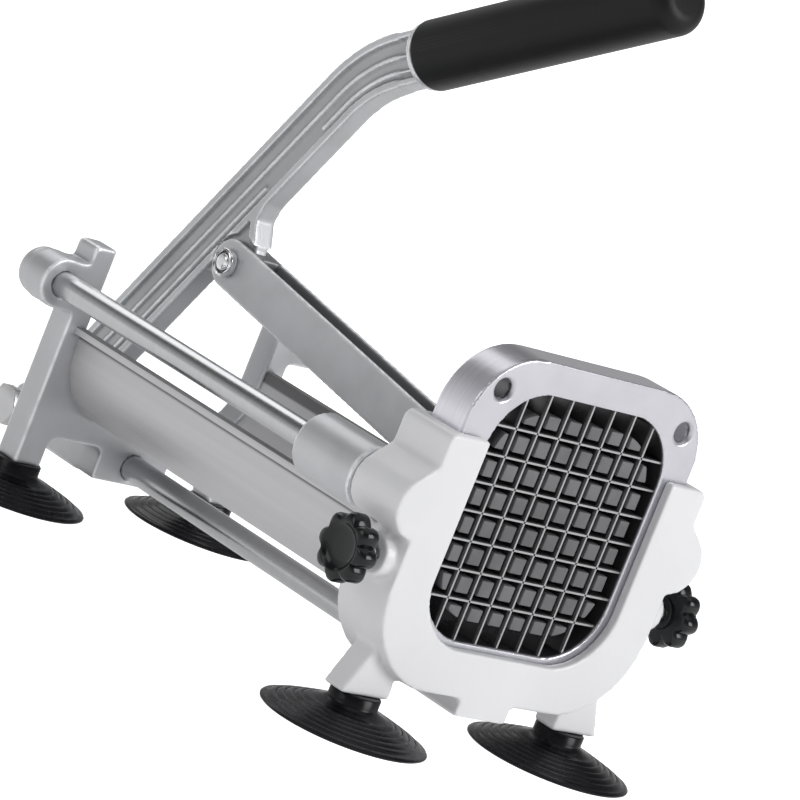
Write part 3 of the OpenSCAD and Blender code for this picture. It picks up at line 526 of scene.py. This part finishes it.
def grown(group, name, values, base=None):
    """Plain mesh that a geometry node group makes from named values and a base mesh."""
    piece = bpy.data.objects.new(name, base or bpy.data.meshes.new(name + "_start"))
    bpy.context.scene.collection.objects.link(piece)
    nodes = piece.modifiers.new("nodes", "NODES")
    nodes.node_group = group
    for socket in group.interface.items_tree:
        if socket.item_type == "SOCKET" and socket.in_out == "INPUT" and socket.name in values:
            nodes[socket.identifier] = values[socket.name]
    apply_modifiers(piece)
    return piece


def blade_row_group():
    """Row of copies of a strip, each as long as the rounded seat lets it be."""
    group, source, result = new_group(
        "blade_row",
        [("Geometry", "NodeSocketGeometry", None), ("Count", "NodeSocketInt", 7), ("Pitch", FLOAT, 0.01),
         ("Half Across", FLOAT, 0.04), ("Half Along", FLOAT, 0.04), ("Corner", FLOAT, 0.02),
         ("Turn", VECTOR, (0, 0, 0)), ("Centre", VECTOR, (0, 0, 0)),
         ("Material", "NodeSocketMaterial", None)],
        [("Geometry", "NodeSocketGeometry")],
        "GeometryNodeTree",
    )
    nodes, links, given = group.nodes, group.links, source.outputs
    steps = maths(group, "MULTIPLY", maths(group, "SUBTRACT", given["Count"], 1), -0.5)
    start = nodes.new("ShaderNodeCombineXYZ")
    links.new(maths(group, "MULTIPLY", steps, given["Pitch"]), start.inputs["X"])
    step = nodes.new("ShaderNodeCombineXYZ")
    links.new(given["Pitch"], step.inputs["X"])
    row = nodes.new("GeometryNodeMeshLine")
    links.new(given["Count"], row.inputs["Count"])
    links.new(start.outputs[0], row.inputs["Start Location"])
    links.new(step.outputs[0], row.inputs["Offset"])
    place = nodes.new("GeometryNodeInputPosition")
    parts = nodes.new("ShaderNodeSeparateXYZ")
    links.new(place.outputs[0], parts.inputs[0])
    flat = maths(group, "SUBTRACT", given["Half Across"], given["Corner"])
    from_middle = maths(group, "ABSOLUTE", parts.outputs["X"])
    past = maths(group, "MAXIMUM", maths(group, "SUBTRACT", from_middle, flat), 0.0)
    square = maths(group, "MULTIPLY", given["Corner"], given["Corner"])
    rise = maths(group, "SQRT", maths(group, "SUBTRACT", square, maths(group, "MULTIPLY", past, past)))
    reach = maths(group, "ADD", maths(group, "SUBTRACT", given["Half Along"], given["Corner"]), rise)
    size = nodes.new("ShaderNodeCombineXYZ")
    size.inputs["X"].default_value = 1
    size.inputs["Y"].default_value = 1
    links.new(reach, size.inputs["Z"])
    copies = nodes.new("GeometryNodeInstanceOnPoints")
    links.new(row.outputs[0], copies.inputs["Points"])
    links.new(given["Geometry"], copies.inputs["Instance"])
    links.new(size.outputs[0], copies.inputs["Scale"])
    move = nodes.new("GeometryNodeTransform")
    links.new(copies.outputs[0], move.inputs["Geometry"])
    links.new(given["Turn"], move.inputs["Rotation"])
    links.new(given["Centre"], move.inputs["Translation"])
    solid = nodes.new("GeometryNodeRealizeInstances")
    links.new(move.outputs[0], solid.inputs[0])
    finish = nodes.new("GeometryNodeSetMaterial")
    links.new(solid.outputs[0], finish.inputs["Geometry"])
    links.new(given["Material"], finish.inputs["Material"])
    links.new(finish.outputs[0], result.inputs[0])
    return group


def blade_strip():
    """One strip of unit half length, standing along Z, with its ground edge at y = 0."""
    half, edge = BLADE_THICK / 2, EDGE_THICK / 2
    section = [
        (-edge, 0), (edge, 0), (half, GROUND_DEPTH), (half, BLADE_DEPTH), (-half, BLADE_DEPTH),
        (-half, GROUND_DEPTH),
    ]
    count = len(section)
    corners = [(x, y, z) for z in (-1, 1) for x, y in section]
    sides = [(i, (i + 1) % count, count + (i + 1) % count, count + i) for i in range(count)]
    mesh = bpy.data.meshes.new("strip")
    mesh.from_pydata(corners, [], sides + [tuple(range(count))[::-1], tuple(range(count, 2 * count))])
    return mesh


def ground_steel():
    """Blade steel, with its ground front edge finer than the sides, and painted shade on the sides behind it.
    """
    material, tree, shader = new_material("blade_steel", BLADE_STEEL, 0.26, 0.75)
    brush = use_group(
        tree, BRUSHED, Colour=(*BLADE_STEEL, 1), Stretch=(260, 40, 260), Depth=0.18, Roughness=0.28
    )
    tree.links.new(brush.outputs["Roughness"], shader.inputs["Roughness"])
    tree.links.new(brush.outputs["Colour"], shader.inputs["Base Color"])
    # painted shade on the strips' sides, deeper in the grid
    front_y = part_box("blades_vertical")[0][1]
    fade_from, fade_to = front_y + GROUND_DEPTH * 0.4, front_y + GROUND_DEPTH * 1.2
    shade_by(tree, shader, ramp(tree, place_parts(tree)[1], fade_from, fade_to, EDGE_SHADE, SIDE_PAINTED_SHADE))
    bumped(tree, shader, brush.outputs["Height"], 0.08, 0.05 * MM)
    return material


BLADE_ROW = blade_row_group()
blade_steel = ground_steel()
for node, across, along, turn in (
    ("blades_vertical", SEAT_HALF_W, SEAT_HALF_H, (0, 0, 0)),
    ("blades_horizontal", SEAT_HALF_H, SEAT_HALF_W, (0, math.pi / 2, 0)),
):
    low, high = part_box(node)
    row = grown(BLADE_ROW, node.replace("blades", "strips"), {
        "Count": BLADE_COUNT, "Pitch": BLADE_PITCH, "Half Across": across, "Half Along": along,
        "Corner": SEAT_R, "Turn": turn, "Centre": (0, low[1], (low[2] + high[2]) / 2),
        "Material": blade_steel,
    }, blade_strip())
    dress(row, None, "base", node)

# ---------------------------------------------------------------------------
# Pusher block
# One moulded block of dark grey plastic with a square stud for each cell of
# the grid, screwed to the carriage. The studs' edges have a small radius.
# ---------------------------------------------------------------------------
STUD_GREY = (0.135, 0.135, 0.14)
STUD_ROOT_PAINTED_SHADE = 0.40        # painted shade: share of that colour that is left down between the studs
FLAT_DEG = 1.0                # faces that meet at less than this are one face
SHARP_DEG = 35                # and edges above this are rounded


def smooth_by_angle(piece, degrees):
    """Shades the piece smooth, but for edges sharper than the angle."""
    mesh = piece.data
    mesh.polygons.foreach_set("use_smooth", [True] * len(mesh.polygons))
    mesh.set_sharp_from_angle(angle=math.radians(degrees))


def bevelled(node, name, width):
    """Copy of a node whose sharp edges are rounded over the given width."""
    piece = node_copy(node, name)
    shape = bmesh.new()
    shape.from_mesh(piece.data)
    bmesh.ops.dissolve_limit(
        shape, angle_limit=math.radians(FLAT_DEG), verts=shape.verts, edges=shape.edges,
        use_dissolve_boundaries=False,
    )
    shape.to_mesh(piece.data)
    shape.free()
    bevel = piece.modifiers.new("edges", "BEVEL")
    bevel.width = width
    bevel.segments = 3
    bevel.limit_method = "ANGLE"
    bevel.angle_limit = math.radians(SHARP_DEG)
    bevel.use_clamp_overlap = False
    bevel.harden_normals = False
    bevel.miter_outer = "MITER_ARC"
    apply_modifiers(piece)
    smooth_by_angle(piece, 30)
    return piece


stud_plastic, stud_tree, stud_shader = mottled_material(
    "stud_plastic", STUD_GREY, roughness=0.5, metallic=0.0, grain=0.9, cloud=0.22, bump=0.35
)
tip_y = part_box("pusher_block")[0][1]
# painted shade, darker down between the studs
shade_by(stud_tree, stud_shader, ramp(
    stud_tree, place_parts(stud_tree)[1], tip_y + 0.6 * MM, tip_y + 3.0 * MM, 1.0, STUD_ROOT_PAINTED_SHADE
))
pusher = bevelled("pusher_block", "studded_block", 0.35 * MM)
dress(pusher, stud_plastic, "carriage", "pusher_block")

# ---------------------------------------------------------------------------
# Rear bracket and carriage
# Aluminium castings, tumbled to a dull grey shine. Their edges are rubbed
# bright, and shade is painted into the inside corners.
# ---------------------------------------------------------------------------
CAST_METAL = (0.58, 0.59, 0.61)
CAST_WEAR_AND_SHADE = (0.85, 0.50)      # shine of the rubbed edges and painted shade of the inside corners
cast_metal = mottled_material(
    "cast_metal", CAST_METAL, roughness=0.40, metallic=0.5, grain=0.8, cloud=0.06, bump=0.30,
    wear_and_shade=CAST_WEAR_AND_SHADE,
)[0]
bracket = casting("rear_bracket", "bracket_casting", voxel=0.8 * MM, rounding=4)
dress(bracket, cast_metal, "base", "rear_bracket")
carriage = casting("carriage", "carriage_casting", voxel=0.8 * MM, rounding=4)
dress(carriage, cast_metal, "carriage", "carriage")

# ---------------------------------------------------------------------------
# Lever and link
# Two more castings of the same metal, drawn finer: flanges and short ribs run
# along the lever, and the link is a trough that opens upwards.
# ---------------------------------------------------------------------------
WEB_HALF = 2.5 * MM
WEB_PAINTED_SHADE = 0.22               # painted shade: how much darker the lever's web is
TROUGH_HALF_W = 4.0 * MM
TROUGH_PAINTED_SHADE = 0.58            # painted shade: how much darker the link's trough is
LINK_TILT = math.atan2(19, 129)   # rise over run between the link's pins


def lever_metal():
    """Cast metal with painted shade on the web between the flanges and ribs."""
    material, tree, shader = mottled_material(
        "lever_metal", CAST_METAL, roughness=0.40, metallic=0.5, grain=0.8, cloud=0.08, bump=0.30,
        wear_and_shade=CAST_WEAR_AND_SHADE,
    )
    # painted shade on the sunk web's side faces
    facing = tree.nodes.new("ShaderNodeSeparateXYZ")
    tree.links.new(tree.nodes.new("ShaderNodeTexCoord").outputs["Normal"], facing.inputs[0])
    sideways = ramp(tree, maths(tree, "ABSOLUTE", facing.outputs["X"]), 0.5, 0.9, 0.0, WEB_PAINTED_SHADE)
    depth = maths(tree, "ABSOLUTE", place_parts(tree)[0])
    sunk = ramp(tree, depth, WEB_HALF + 1.0 * MM, WEB_HALF + 0.3 * MM)
    shade_by(tree, shader, maths(tree, "SUBTRACT", 1.0, maths(tree, "MULTIPLY", sideways, sunk)))
    return material


def link_metal():
    """Cast metal with painted shade in the trough along the link's upper side."""
    material, tree, shader = mottled_material(
        "link_metal", CAST_METAL, roughness=0.42, metallic=0.5, grain=0.8, cloud=0.08, bump=0.30,
        wear_and_shade=CAST_WEAR_AND_SHADE,
    )
    # painted shade inside the trough
    low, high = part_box("link_lower_pin")
    x, y, z = place_parts(tree)
    up = maths(tree, "SUBTRACT", z, (low[2] + high[2]) / 2)
    back = maths(tree, "SUBTRACT", y, (low[1] + high[1]) / 2)
    rise = maths(tree, "MULTIPLY", up, math.cos(LINK_TILT))
    run = maths(tree, "MULTIPLY", back, math.sin(LINK_TILT))
    above = ramp(tree, maths(tree, "SUBTRACT", rise, run), 2.0 * MM, 3.2 * MM, 0.0, TROUGH_PAINTED_SHADE)
    between = ramp(tree, maths(tree, "ABSOLUTE", x), TROUGH_HALF_W + 0.5 * MM, TROUGH_HALF_W + 0.1 * MM)
    shade_by(tree, shader, maths(tree, "SUBTRACT", 1.0, maths(tree, "MULTIPLY", above, between)))
    return material


lever = casting("lever_arm", "lever_casting", voxel=0.6 * MM, rounding=4, gain=1.9)
dress(lever, lever_metal(), "lever", "lever_arm")
link = casting("link", "link_casting", voxel=0.55 * MM, rounding=3, gain=1.9)
dress(link, link_metal(), "link", "link")

# ---------------------------------------------------------------------------
# Chute
# Stainless sheet bent to a trough, with a hem folded out along each top edge.
# The rolling lines run along it, and the sheet is a little wavy.
# ---------------------------------------------------------------------------
SHEET_METAL = (0.64, 0.635, 0.65)
SHEET_HALF_W = 43.0 * MM
HEM_LIP = 2.6 * MM
HEM_PAINTED_SHADE = 0.72              # how dark the painted shade on top of the hem and the painted shadow under its lip are


def chute_sheet():
    """Rolled sheet with painted shade on top of the hem and a painted shadow on the wall under its turned
    down lip.
    """
    material, tree, shader = brushed_material(
        "chute_sheet", SHEET_METAL, roughness=0.46, metallic=0.5, stretch=(500, 10, 500),
        depth=0.16, bump=0.06,
    )
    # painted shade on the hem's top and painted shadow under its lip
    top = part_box("chute")[1][2]
    x, _, z = place_parts(tree)
    wall = ramp(tree, maths(tree, "ABSOLUTE", x), SHEET_HALF_W + 0.8 * MM, SHEET_HALF_W + 0.2 * MM)
    below_lip = ramp(tree, z, top - HEM_LIP - 1.9 * MM, top - HEM_LIP - 0.7 * MM)
    under_lip = maths(tree, "MULTIPLY", below_lip, wall)
    on_hem = ramp(tree, z, top - 0.45 * MM, top - 0.1 * MM)
    hem_shade = maths(tree, "MULTIPLY", maths(tree, "MAXIMUM", under_lip, on_hem), HEM_PAINTED_SHADE)
    shade_by(tree, shader, maths(tree, "SUBTRACT", 1.0, hem_shade))
    return material


sheet_metal = chute_sheet()
chute = bevelled("chute", "bent_chute", 0.45 * MM)
dress(chute, sheet_metal, "base", "chute")

# ---------------------------------------------------------------------------
# Guide rods and tie rod
# Ground steel bar with fine turning lines. The ends are seated in blind holes
# of the castings, and the tie rod's back end is threaded for its nut.
# ---------------------------------------------------------------------------
ROD_METAL = (0.58, 0.585, 0.60)
rod_metal = brushed_material(
    "ground_rod", ROD_METAL, roughness=0.25, metallic=1.0, stretch=(60, 500, 60), depth=0.14, bump=0.02
)[0]
for node in ("guide_rod_left", "guide_rod_right", "tie_rod"):
    rod = bevelled(node, node + "_bar", 0.5 * MM)
    dress(rod, rod_metal, "base", node)

# ---------------------------------------------------------------------------
# Fasteners
# Bolts, nuts and screws of steel in bright zinc. Their threads are cut with a
# one millimetre pitch, and the nuts' corners are broken.
# ---------------------------------------------------------------------------
ZINC = (0.62, 0.62, 0.63)
THREAD_PITCH = 1.0 * MM
THREAD_DEPTH = 0.5 * MM
PAD_ROUND = 1.1 * MM          # the pads' edges, round enough for the cast pockets' inside corners
zinc = mottled_material(
    "bright_zinc", ZINC, roughness=0.24, metallic=0.95, grain=1.4, cloud=0.05, bump=0.08
)[0]


def thread_group():
    """Threaded bar along X: a core with a helical ridge that follows a spiral."""
    group, source, result = new_group(
        "thread",
        [("Radius", FLOAT, 0.003), ("Pitch", FLOAT, 0.001), ("Length", FLOAT, 0.01), ("Depth", FLOAT, 0.0006),
         ("Start", VECTOR, (0, 0, 0)), ("Material", "NodeSocketMaterial", None)],
        [("Geometry", "NodeSocketGeometry")],
        "GeometryNodeTree",
    )
    nodes, links, given = group.nodes, group.links, source.outputs
    root = maths(group, "SUBTRACT", given["Radius"], given["Depth"])
    core = nodes.new("GeometryNodeMeshCylinder")
    core.inputs["Vertices"].default_value = 40
    links.new(root, core.inputs["Radius"])
    links.new(given["Length"], core.inputs["Depth"])
    lift = nodes.new("ShaderNodeCombineXYZ")
    links.new(maths(group, "MULTIPLY", given["Length"], 0.5), lift.inputs["Z"])
    raised = nodes.new("GeometryNodeTransform")
    links.new(core.outputs["Mesh"], raised.inputs["Geometry"])
    links.new(lift.outputs[0], raised.inputs["Translation"])
    turns = maths(group, "DIVIDE", given["Length"], given["Pitch"])
    spiral = nodes.new("GeometryNodeCurveSpiral")
    spiral.inputs["Resolution"].default_value = 36
    links.new(turns, spiral.inputs["Rotations"])
    links.new(root, spiral.inputs["Start Radius"])
    links.new(root, spiral.inputs["End Radius"])
    links.new(given["Length"], spiral.inputs["Height"])
    ridge = nodes.new("GeometryNodeCurvePrimitiveCircle")
    ridge.inputs["Resolution"].default_value = 4
    links.new(given["Depth"], ridge.inputs["Radius"])
    sweep = nodes.new("GeometryNodeCurveToMesh")
    sweep.inputs["Fill Caps"].default_value = True
    links.new(spiral.outputs[0], sweep.inputs["Curve"])
    links.new(ridge.outputs[0], sweep.inputs["Profile Curve"])
    both = nodes.new("GeometryNodeJoinGeometry")
    links.new(raised.outputs[0], both.inputs[0])
    links.new(sweep.outputs[0], both.inputs[0])
    lay = nodes.new("GeometryNodeTransform")
    lay.inputs["Rotation"].default_value = (0, math.pi / 2, 0)
    links.new(both.outputs[0], lay.inputs["Geometry"])
    links.new(given["Start"], lay.inputs["Translation"])
    solid = nodes.new("GeometryNodeRealizeInstances")
    links.new(lay.outputs[0], solid.inputs[0])
    finish = nodes.new("GeometryNodeSetMaterial")
    links.new(solid.outputs[0], finish.inputs["Geometry"])
    links.new(given["Material"], finish.inputs["Material"])
    links.new(finish.outputs[0], result.inputs[0])
    return group


THREAD = thread_group()
for side in ("left", "right"):
    node = "clamp_stud_" + side
    low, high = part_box(node)
    radius = (high[2] - low[2]) / 2
    stud = grown(THREAD, "clamp_thread_" + side, {
        "Radius": radius, "Pitch": THREAD_PITCH, "Length": high[0] - low[0],
        "Depth": THREAD_DEPTH,
        "Start": (low[0], (low[1] + high[1]) / 2, (low[2] + high[2]) / 2), "Material": zinc,
    })
    smooth_by_angle(stud, 40)
    dress(stud, None, "clamp_screw_" + side, node)
    tip = bevelled("clamp_tip_" + side, "clamp_pad_tip_" + side, PAD_ROUND)
    dress(tip, zinc, "clamp_pad_" + side, "clamp_tip_" + side)

for node, body in (
    ("tie_rod_nut", "base"), ("rod_set_screws", "base"), ("pusher_screws", "carriage"),
    ("pivot_bolt", "base"), ("pivot_nut", "base"), ("link_nut", "link"), ("cup_studs", "base"),
):
    dress(bevelled(node, node + "_zinc", 0.3 * MM), zinc, body, node)
lower_pin = bevelled("link_lower_pin", "lower_pin_bar", 0.4 * MM)
dress(lower_pin, rod_metal, "link", "link_lower_pin")

# ---------------------------------------------------------------------------
# Upper pin
# A turned steel pin through the link's fork. Its round head has a raised rim,
# a groove and a bright domed middle.
# ---------------------------------------------------------------------------
PIN_STEEL = (0.78, 0.78, 0.80)


def turned(name, profile, segments, lobes=0):
    """Body turned about Z from (height, radius, lobe depth) rings, lowest first, closed by flat faces."""
    shape = bmesh.new()
    rings = []
    for along, radius, depth in profile:
        ring = []
        for i in range(segments):
            angle = 2 * math.pi * i / segments
            here = radius - depth * (1 - abs(math.cos(lobes * angle / 2)) ** 0.9) if lobes else radius
            ring.append(shape.verts.new((here * math.cos(angle), here * math.sin(angle), along)))
        rings.append(ring)
    for lower, upper in zip(rings, rings[1:]):
        for i in range(segments):
            j = (i + 1) % segments
            shape.faces.new((lower[i], lower[j], upper[j], upper[i]))
    shape.faces.new(rings[0][::-1])
    shape.faces.new(rings[-1])
    bmesh.ops.recalc_face_normals(shape, faces=shape.faces)
    mesh = bpy.data.meshes.new(name)
    shape.to_mesh(mesh)
    shape.free()
    piece = bpy.data.objects.new(name, mesh)
    bpy.context.scene.collection.objects.link(piece)
    smooth_by_angle(piece, 50)
    return piece


def put(piece, at, outward=Vector((0, 0, 1))):
    """Moves the piece's mesh so that its Z axis points outward from a place."""
    turn = Vector(outward).to_track_quat("Z", "Y").to_matrix().to_4x4()
    piece.data.transform(Matrix.Translation(at) @ turn)


def round_pin():
    """The whole pin, from its threaded end on the right to its head on the left."""
    low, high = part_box("link_bolt")
    length = high[0] - low[0]
    shank_r, head_r, head_t = 3.0 * MM, 5.0 * MM, 3.2 * MM
    profile = [
        (0, 0.1 * MM, 0), (0, shank_r - 0.5 * MM, 0), (0.5 * MM, shank_r, 0), (length - head_t, shank_r, 0),
        (length - head_t, head_r - 0.3 * MM, 0), (length - head_t + 0.3 * MM, head_r, 0),
        (length - 0.9 * MM, head_r, 0), (length - 0.3 * MM, head_r - 0.25 * MM, 0),
        (length - 0.1 * MM, head_r - 0.8 * MM, 0), (length - 0.5 * MM, head_r - 1.2 * MM, 0),
        (length - 1.3 * MM, head_r - 1.5 * MM, 0), (length - 1.3 * MM, head_r - 1.9 * MM, 0),
        (length - 0.5 * MM, head_r - 2.1 * MM, 0), (length - 0.1 * MM, head_r - 2.8 * MM, 0),
        (length, head_r - 3.8 * MM, 0), (length, 0.1 * MM, 0),
    ]
    piece = turned("upper_pin", profile, 72)
    put(piece, (high[0], (low[1] + high[1]) / 2, (low[2] + high[2]) / 2), (-1, 0, 0))
    return piece


# strong painted shade in the inside corners of the head's groove
pin_zinc = mottled_material(
    "pin_zinc", PIN_STEEL, roughness=0.2, metallic=0.9, grain=1.4, cloud=0.05, bump=0.08,
    wear_and_shade=(0.3, 0.85),
)[0]
pin = round_pin()
mark_edges(pin, gain=2.2, spread=0)
dress(pin, pin_zinc, "link", "link_bolt")

# ---------------------------------------------------------------------------
# Bushes
# Natural acetal sleeves pressed into both ends of the carriage's sleeves. They
# slide on the guide rods and have a slight waxy gloss.
# ---------------------------------------------------------------------------
ACETAL = (0.70, 0.69, 0.66)
bush_plastic = mottled_material(
    "bush_plastic", ACETAL, roughness=0.5, metallic=0.0, grain=0.8, cloud=0.03, bump=0.15
)[0]
bushes = bevelled("slide_bushes", "acetal_bushes", 0.3 * MM)
dress(bushes, bush_plastic, "carriage", "slide_bushes")

# ---------------------------------------------------------------------------
# Clamp knobs
# Star knobs moulded from gloss black plastic on the screws' ends. Eight round
# lobes give the fingers a hold, and the outer face is dished.
# ---------------------------------------------------------------------------
KNOB_R = 11.5 * MM
LOBE_DEPTH = 2.5 * MM
LOBES = 8
KNOB_BLACK = (0.006, 0.007, 0.008)
knob_plastic = mottled_material(
    "knob_plastic", KNOB_BLACK, roughness=0.18, metallic=0.0, grain=1.2, cloud=0.1, bump=0.08,
    specular=0.4,
)[0]


def star_knob(side):
    """Knob with rounded lobes that fade out towards its neck and its dished face."""
    low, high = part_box("clamp_knob_" + side)
    thick = high[0] - low[0]
    profile = [
        (0, 3.2 * MM, 0), (0, 5.0 * MM, 0), (0.4 * MM, 5.5 * MM, 0), (1.7 * MM, 5.5 * MM, 0),
        (2.0 * MM, 6.6 * MM, 0), (2.05 * MM, KNOB_R - 2.3 * MM, LOBE_DEPTH * 0.75),
        (2.3 * MM, KNOB_R - 1.1 * MM, LOBE_DEPTH * 0.9), (2.9 * MM, KNOB_R - 0.35 * MM, LOBE_DEPTH),
        (3.8 * MM, KNOB_R, LOBE_DEPTH), (thick - 2.2 * MM, KNOB_R, LOBE_DEPTH),
        (thick - 1.2 * MM, KNOB_R - 0.4 * MM, LOBE_DEPTH),
        (thick - 0.5 * MM, KNOB_R - 1.2 * MM, LOBE_DEPTH * 0.9),
        (thick - 0.1 * MM, KNOB_R - 2.2 * MM, LOBE_DEPTH * 0.6),
        (thick, KNOB_R - 3.0 * MM, LOBE_DEPTH * 0.2),
        (thick, 8.0 * MM, 0), (thick - 0.25 * MM, 7.5 * MM, 0), (thick - 0.9 * MM, 7.0 * MM, 0),
        (thick - 1.5 * MM, 5.9 * MM, 0), (thick - 1.8 * MM, 4.2 * MM, 0), (thick - 1.9 * MM, 0.1 * MM, 0),
    ]
    piece = turned("star_knob_" + side, profile, LOBES * 18, LOBES)
    outward = -1 if side == "left" else 1
    inner = high[0] if side == "left" else low[0]
    put(piece, (inner, (low[1] + high[1]) / 2, (low[2] + high[2]) / 2), (outward, 0, 0))
    return piece


for side in ("left", "right"):
    dress(star_knob(side), knob_plastic, "clamp_screw_" + side, "clamp_knob_" + side)

# ---------------------------------------------------------------------------
# Grip
# A rubber sleeve pushed over the lever's tang up to its collar. It has a
# rounded end and a fine moulded grain.
# ---------------------------------------------------------------------------
GRIP_BLACK = (0.005, 0.005, 0.006)
grip_rubber = mottled_material(
    "grip_rubber", GRIP_BLACK, roughness=0.42, metallic=0.0, grain=0.7, cloud=0.15, bump=0.2,
    specular=0.24,
)[0]
grip = bevelled("lever_grip", "grip_sleeve", 0.5 * MM)
dress(grip, grip_rubber, "lever", "lever_grip")

# ---------------------------------------------------------------------------
# Suction cups
# Soft black rubber cups, each moulded over its stud. Rings step down the
# flare to a thin lip, and the mouth is hollow.
# ---------------------------------------------------------------------------
CUP_RINGS = 5
CUP_BLACK = (0.005, 0.005, 0.007)
NECK_R = 8.5 * MM
# each ring's parts along its width, and how far they stand off the flare in millimetres
RING_STEPS = ((0.0, -0.25), (0.35, 0.15), (0.75, 0.22), (0.95, 0.0))
cup_rubber = mottled_material(
    "cup_rubber", CUP_BLACK, roughness=0.26, metallic=0.0, grain=3.0, cloud=0.2, bump=0.3,
    specular=0.24,
)[0]


def ringed_cup(name, node):
    """Cup from its roof inside the mouth, round the lip and up the stepped flare to the neck."""
    low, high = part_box(node)
    rim = (high[0] - low[0]) / 2
    tall = high[2] - low[2]
    profile = [
        (5.4 * MM, 0.1 * MM, 0), (5.3 * MM, 6.0 * MM, 0), (3.6 * MM, rim - 14 * MM, 0),
        (1.5 * MM, rim - 8 * MM, 0), (0.3 * MM, rim - 3.4 * MM, 0), (0, rim - 2.6 * MM, 0),
        (0, rim - 0.5 * MM, 0), (0.25 * MM, rim - 0.1 * MM, 0), (0.7 * MM, rim, 0),
        (1.2 * MM, rim - 0.4 * MM, 0), (1.5 * MM, rim - 1.4 * MM, 0),
    ]
    out_r, in_r = rim - 2.0 * MM, NECK_R + 4.6 * MM
    out_z, in_z = 1.7 * MM, 6.2 * MM
    for ring in range(CUP_RINGS):
        for part, lift in RING_STEPS:
            share = (ring + part) / CUP_RINGS
            up = out_z + (in_z - out_z) * share ** 0.9 + lift * MM
            profile.append((up, out_r + (in_r - out_r) * share, 0))
    profile += [
        (6.6 * MM, NECK_R + 3.6 * MM, 0), (7.2 * MM, NECK_R + 1.6 * MM, 0),
        (8.0 * MM, NECK_R + 0.2 * MM, 0), (8.6 * MM, NECK_R - 0.1 * MM, 0),
        (tall - 0.5 * MM, NECK_R - 0.1 * MM, 0), (tall - 0.1 * MM, NECK_R - 0.5 * MM, 0),
        (tall, NECK_R - 1.0 * MM, 0), (tall, 0.1 * MM, 0),
    ]
    piece = turned(name, profile, 96)
    put(piece, ((low[0] + high[0]) / 2, (low[1] + high[1]) / 2, low[2]))
    return piece


for end in ("front", "rear"):
    for side in ("left", "right"):
        node = "suction_cup_%s_%s" % (end, side)
        dress(ringed_cup("cup_%s_%s" % (end, side), node), cup_rubber, "base", node)
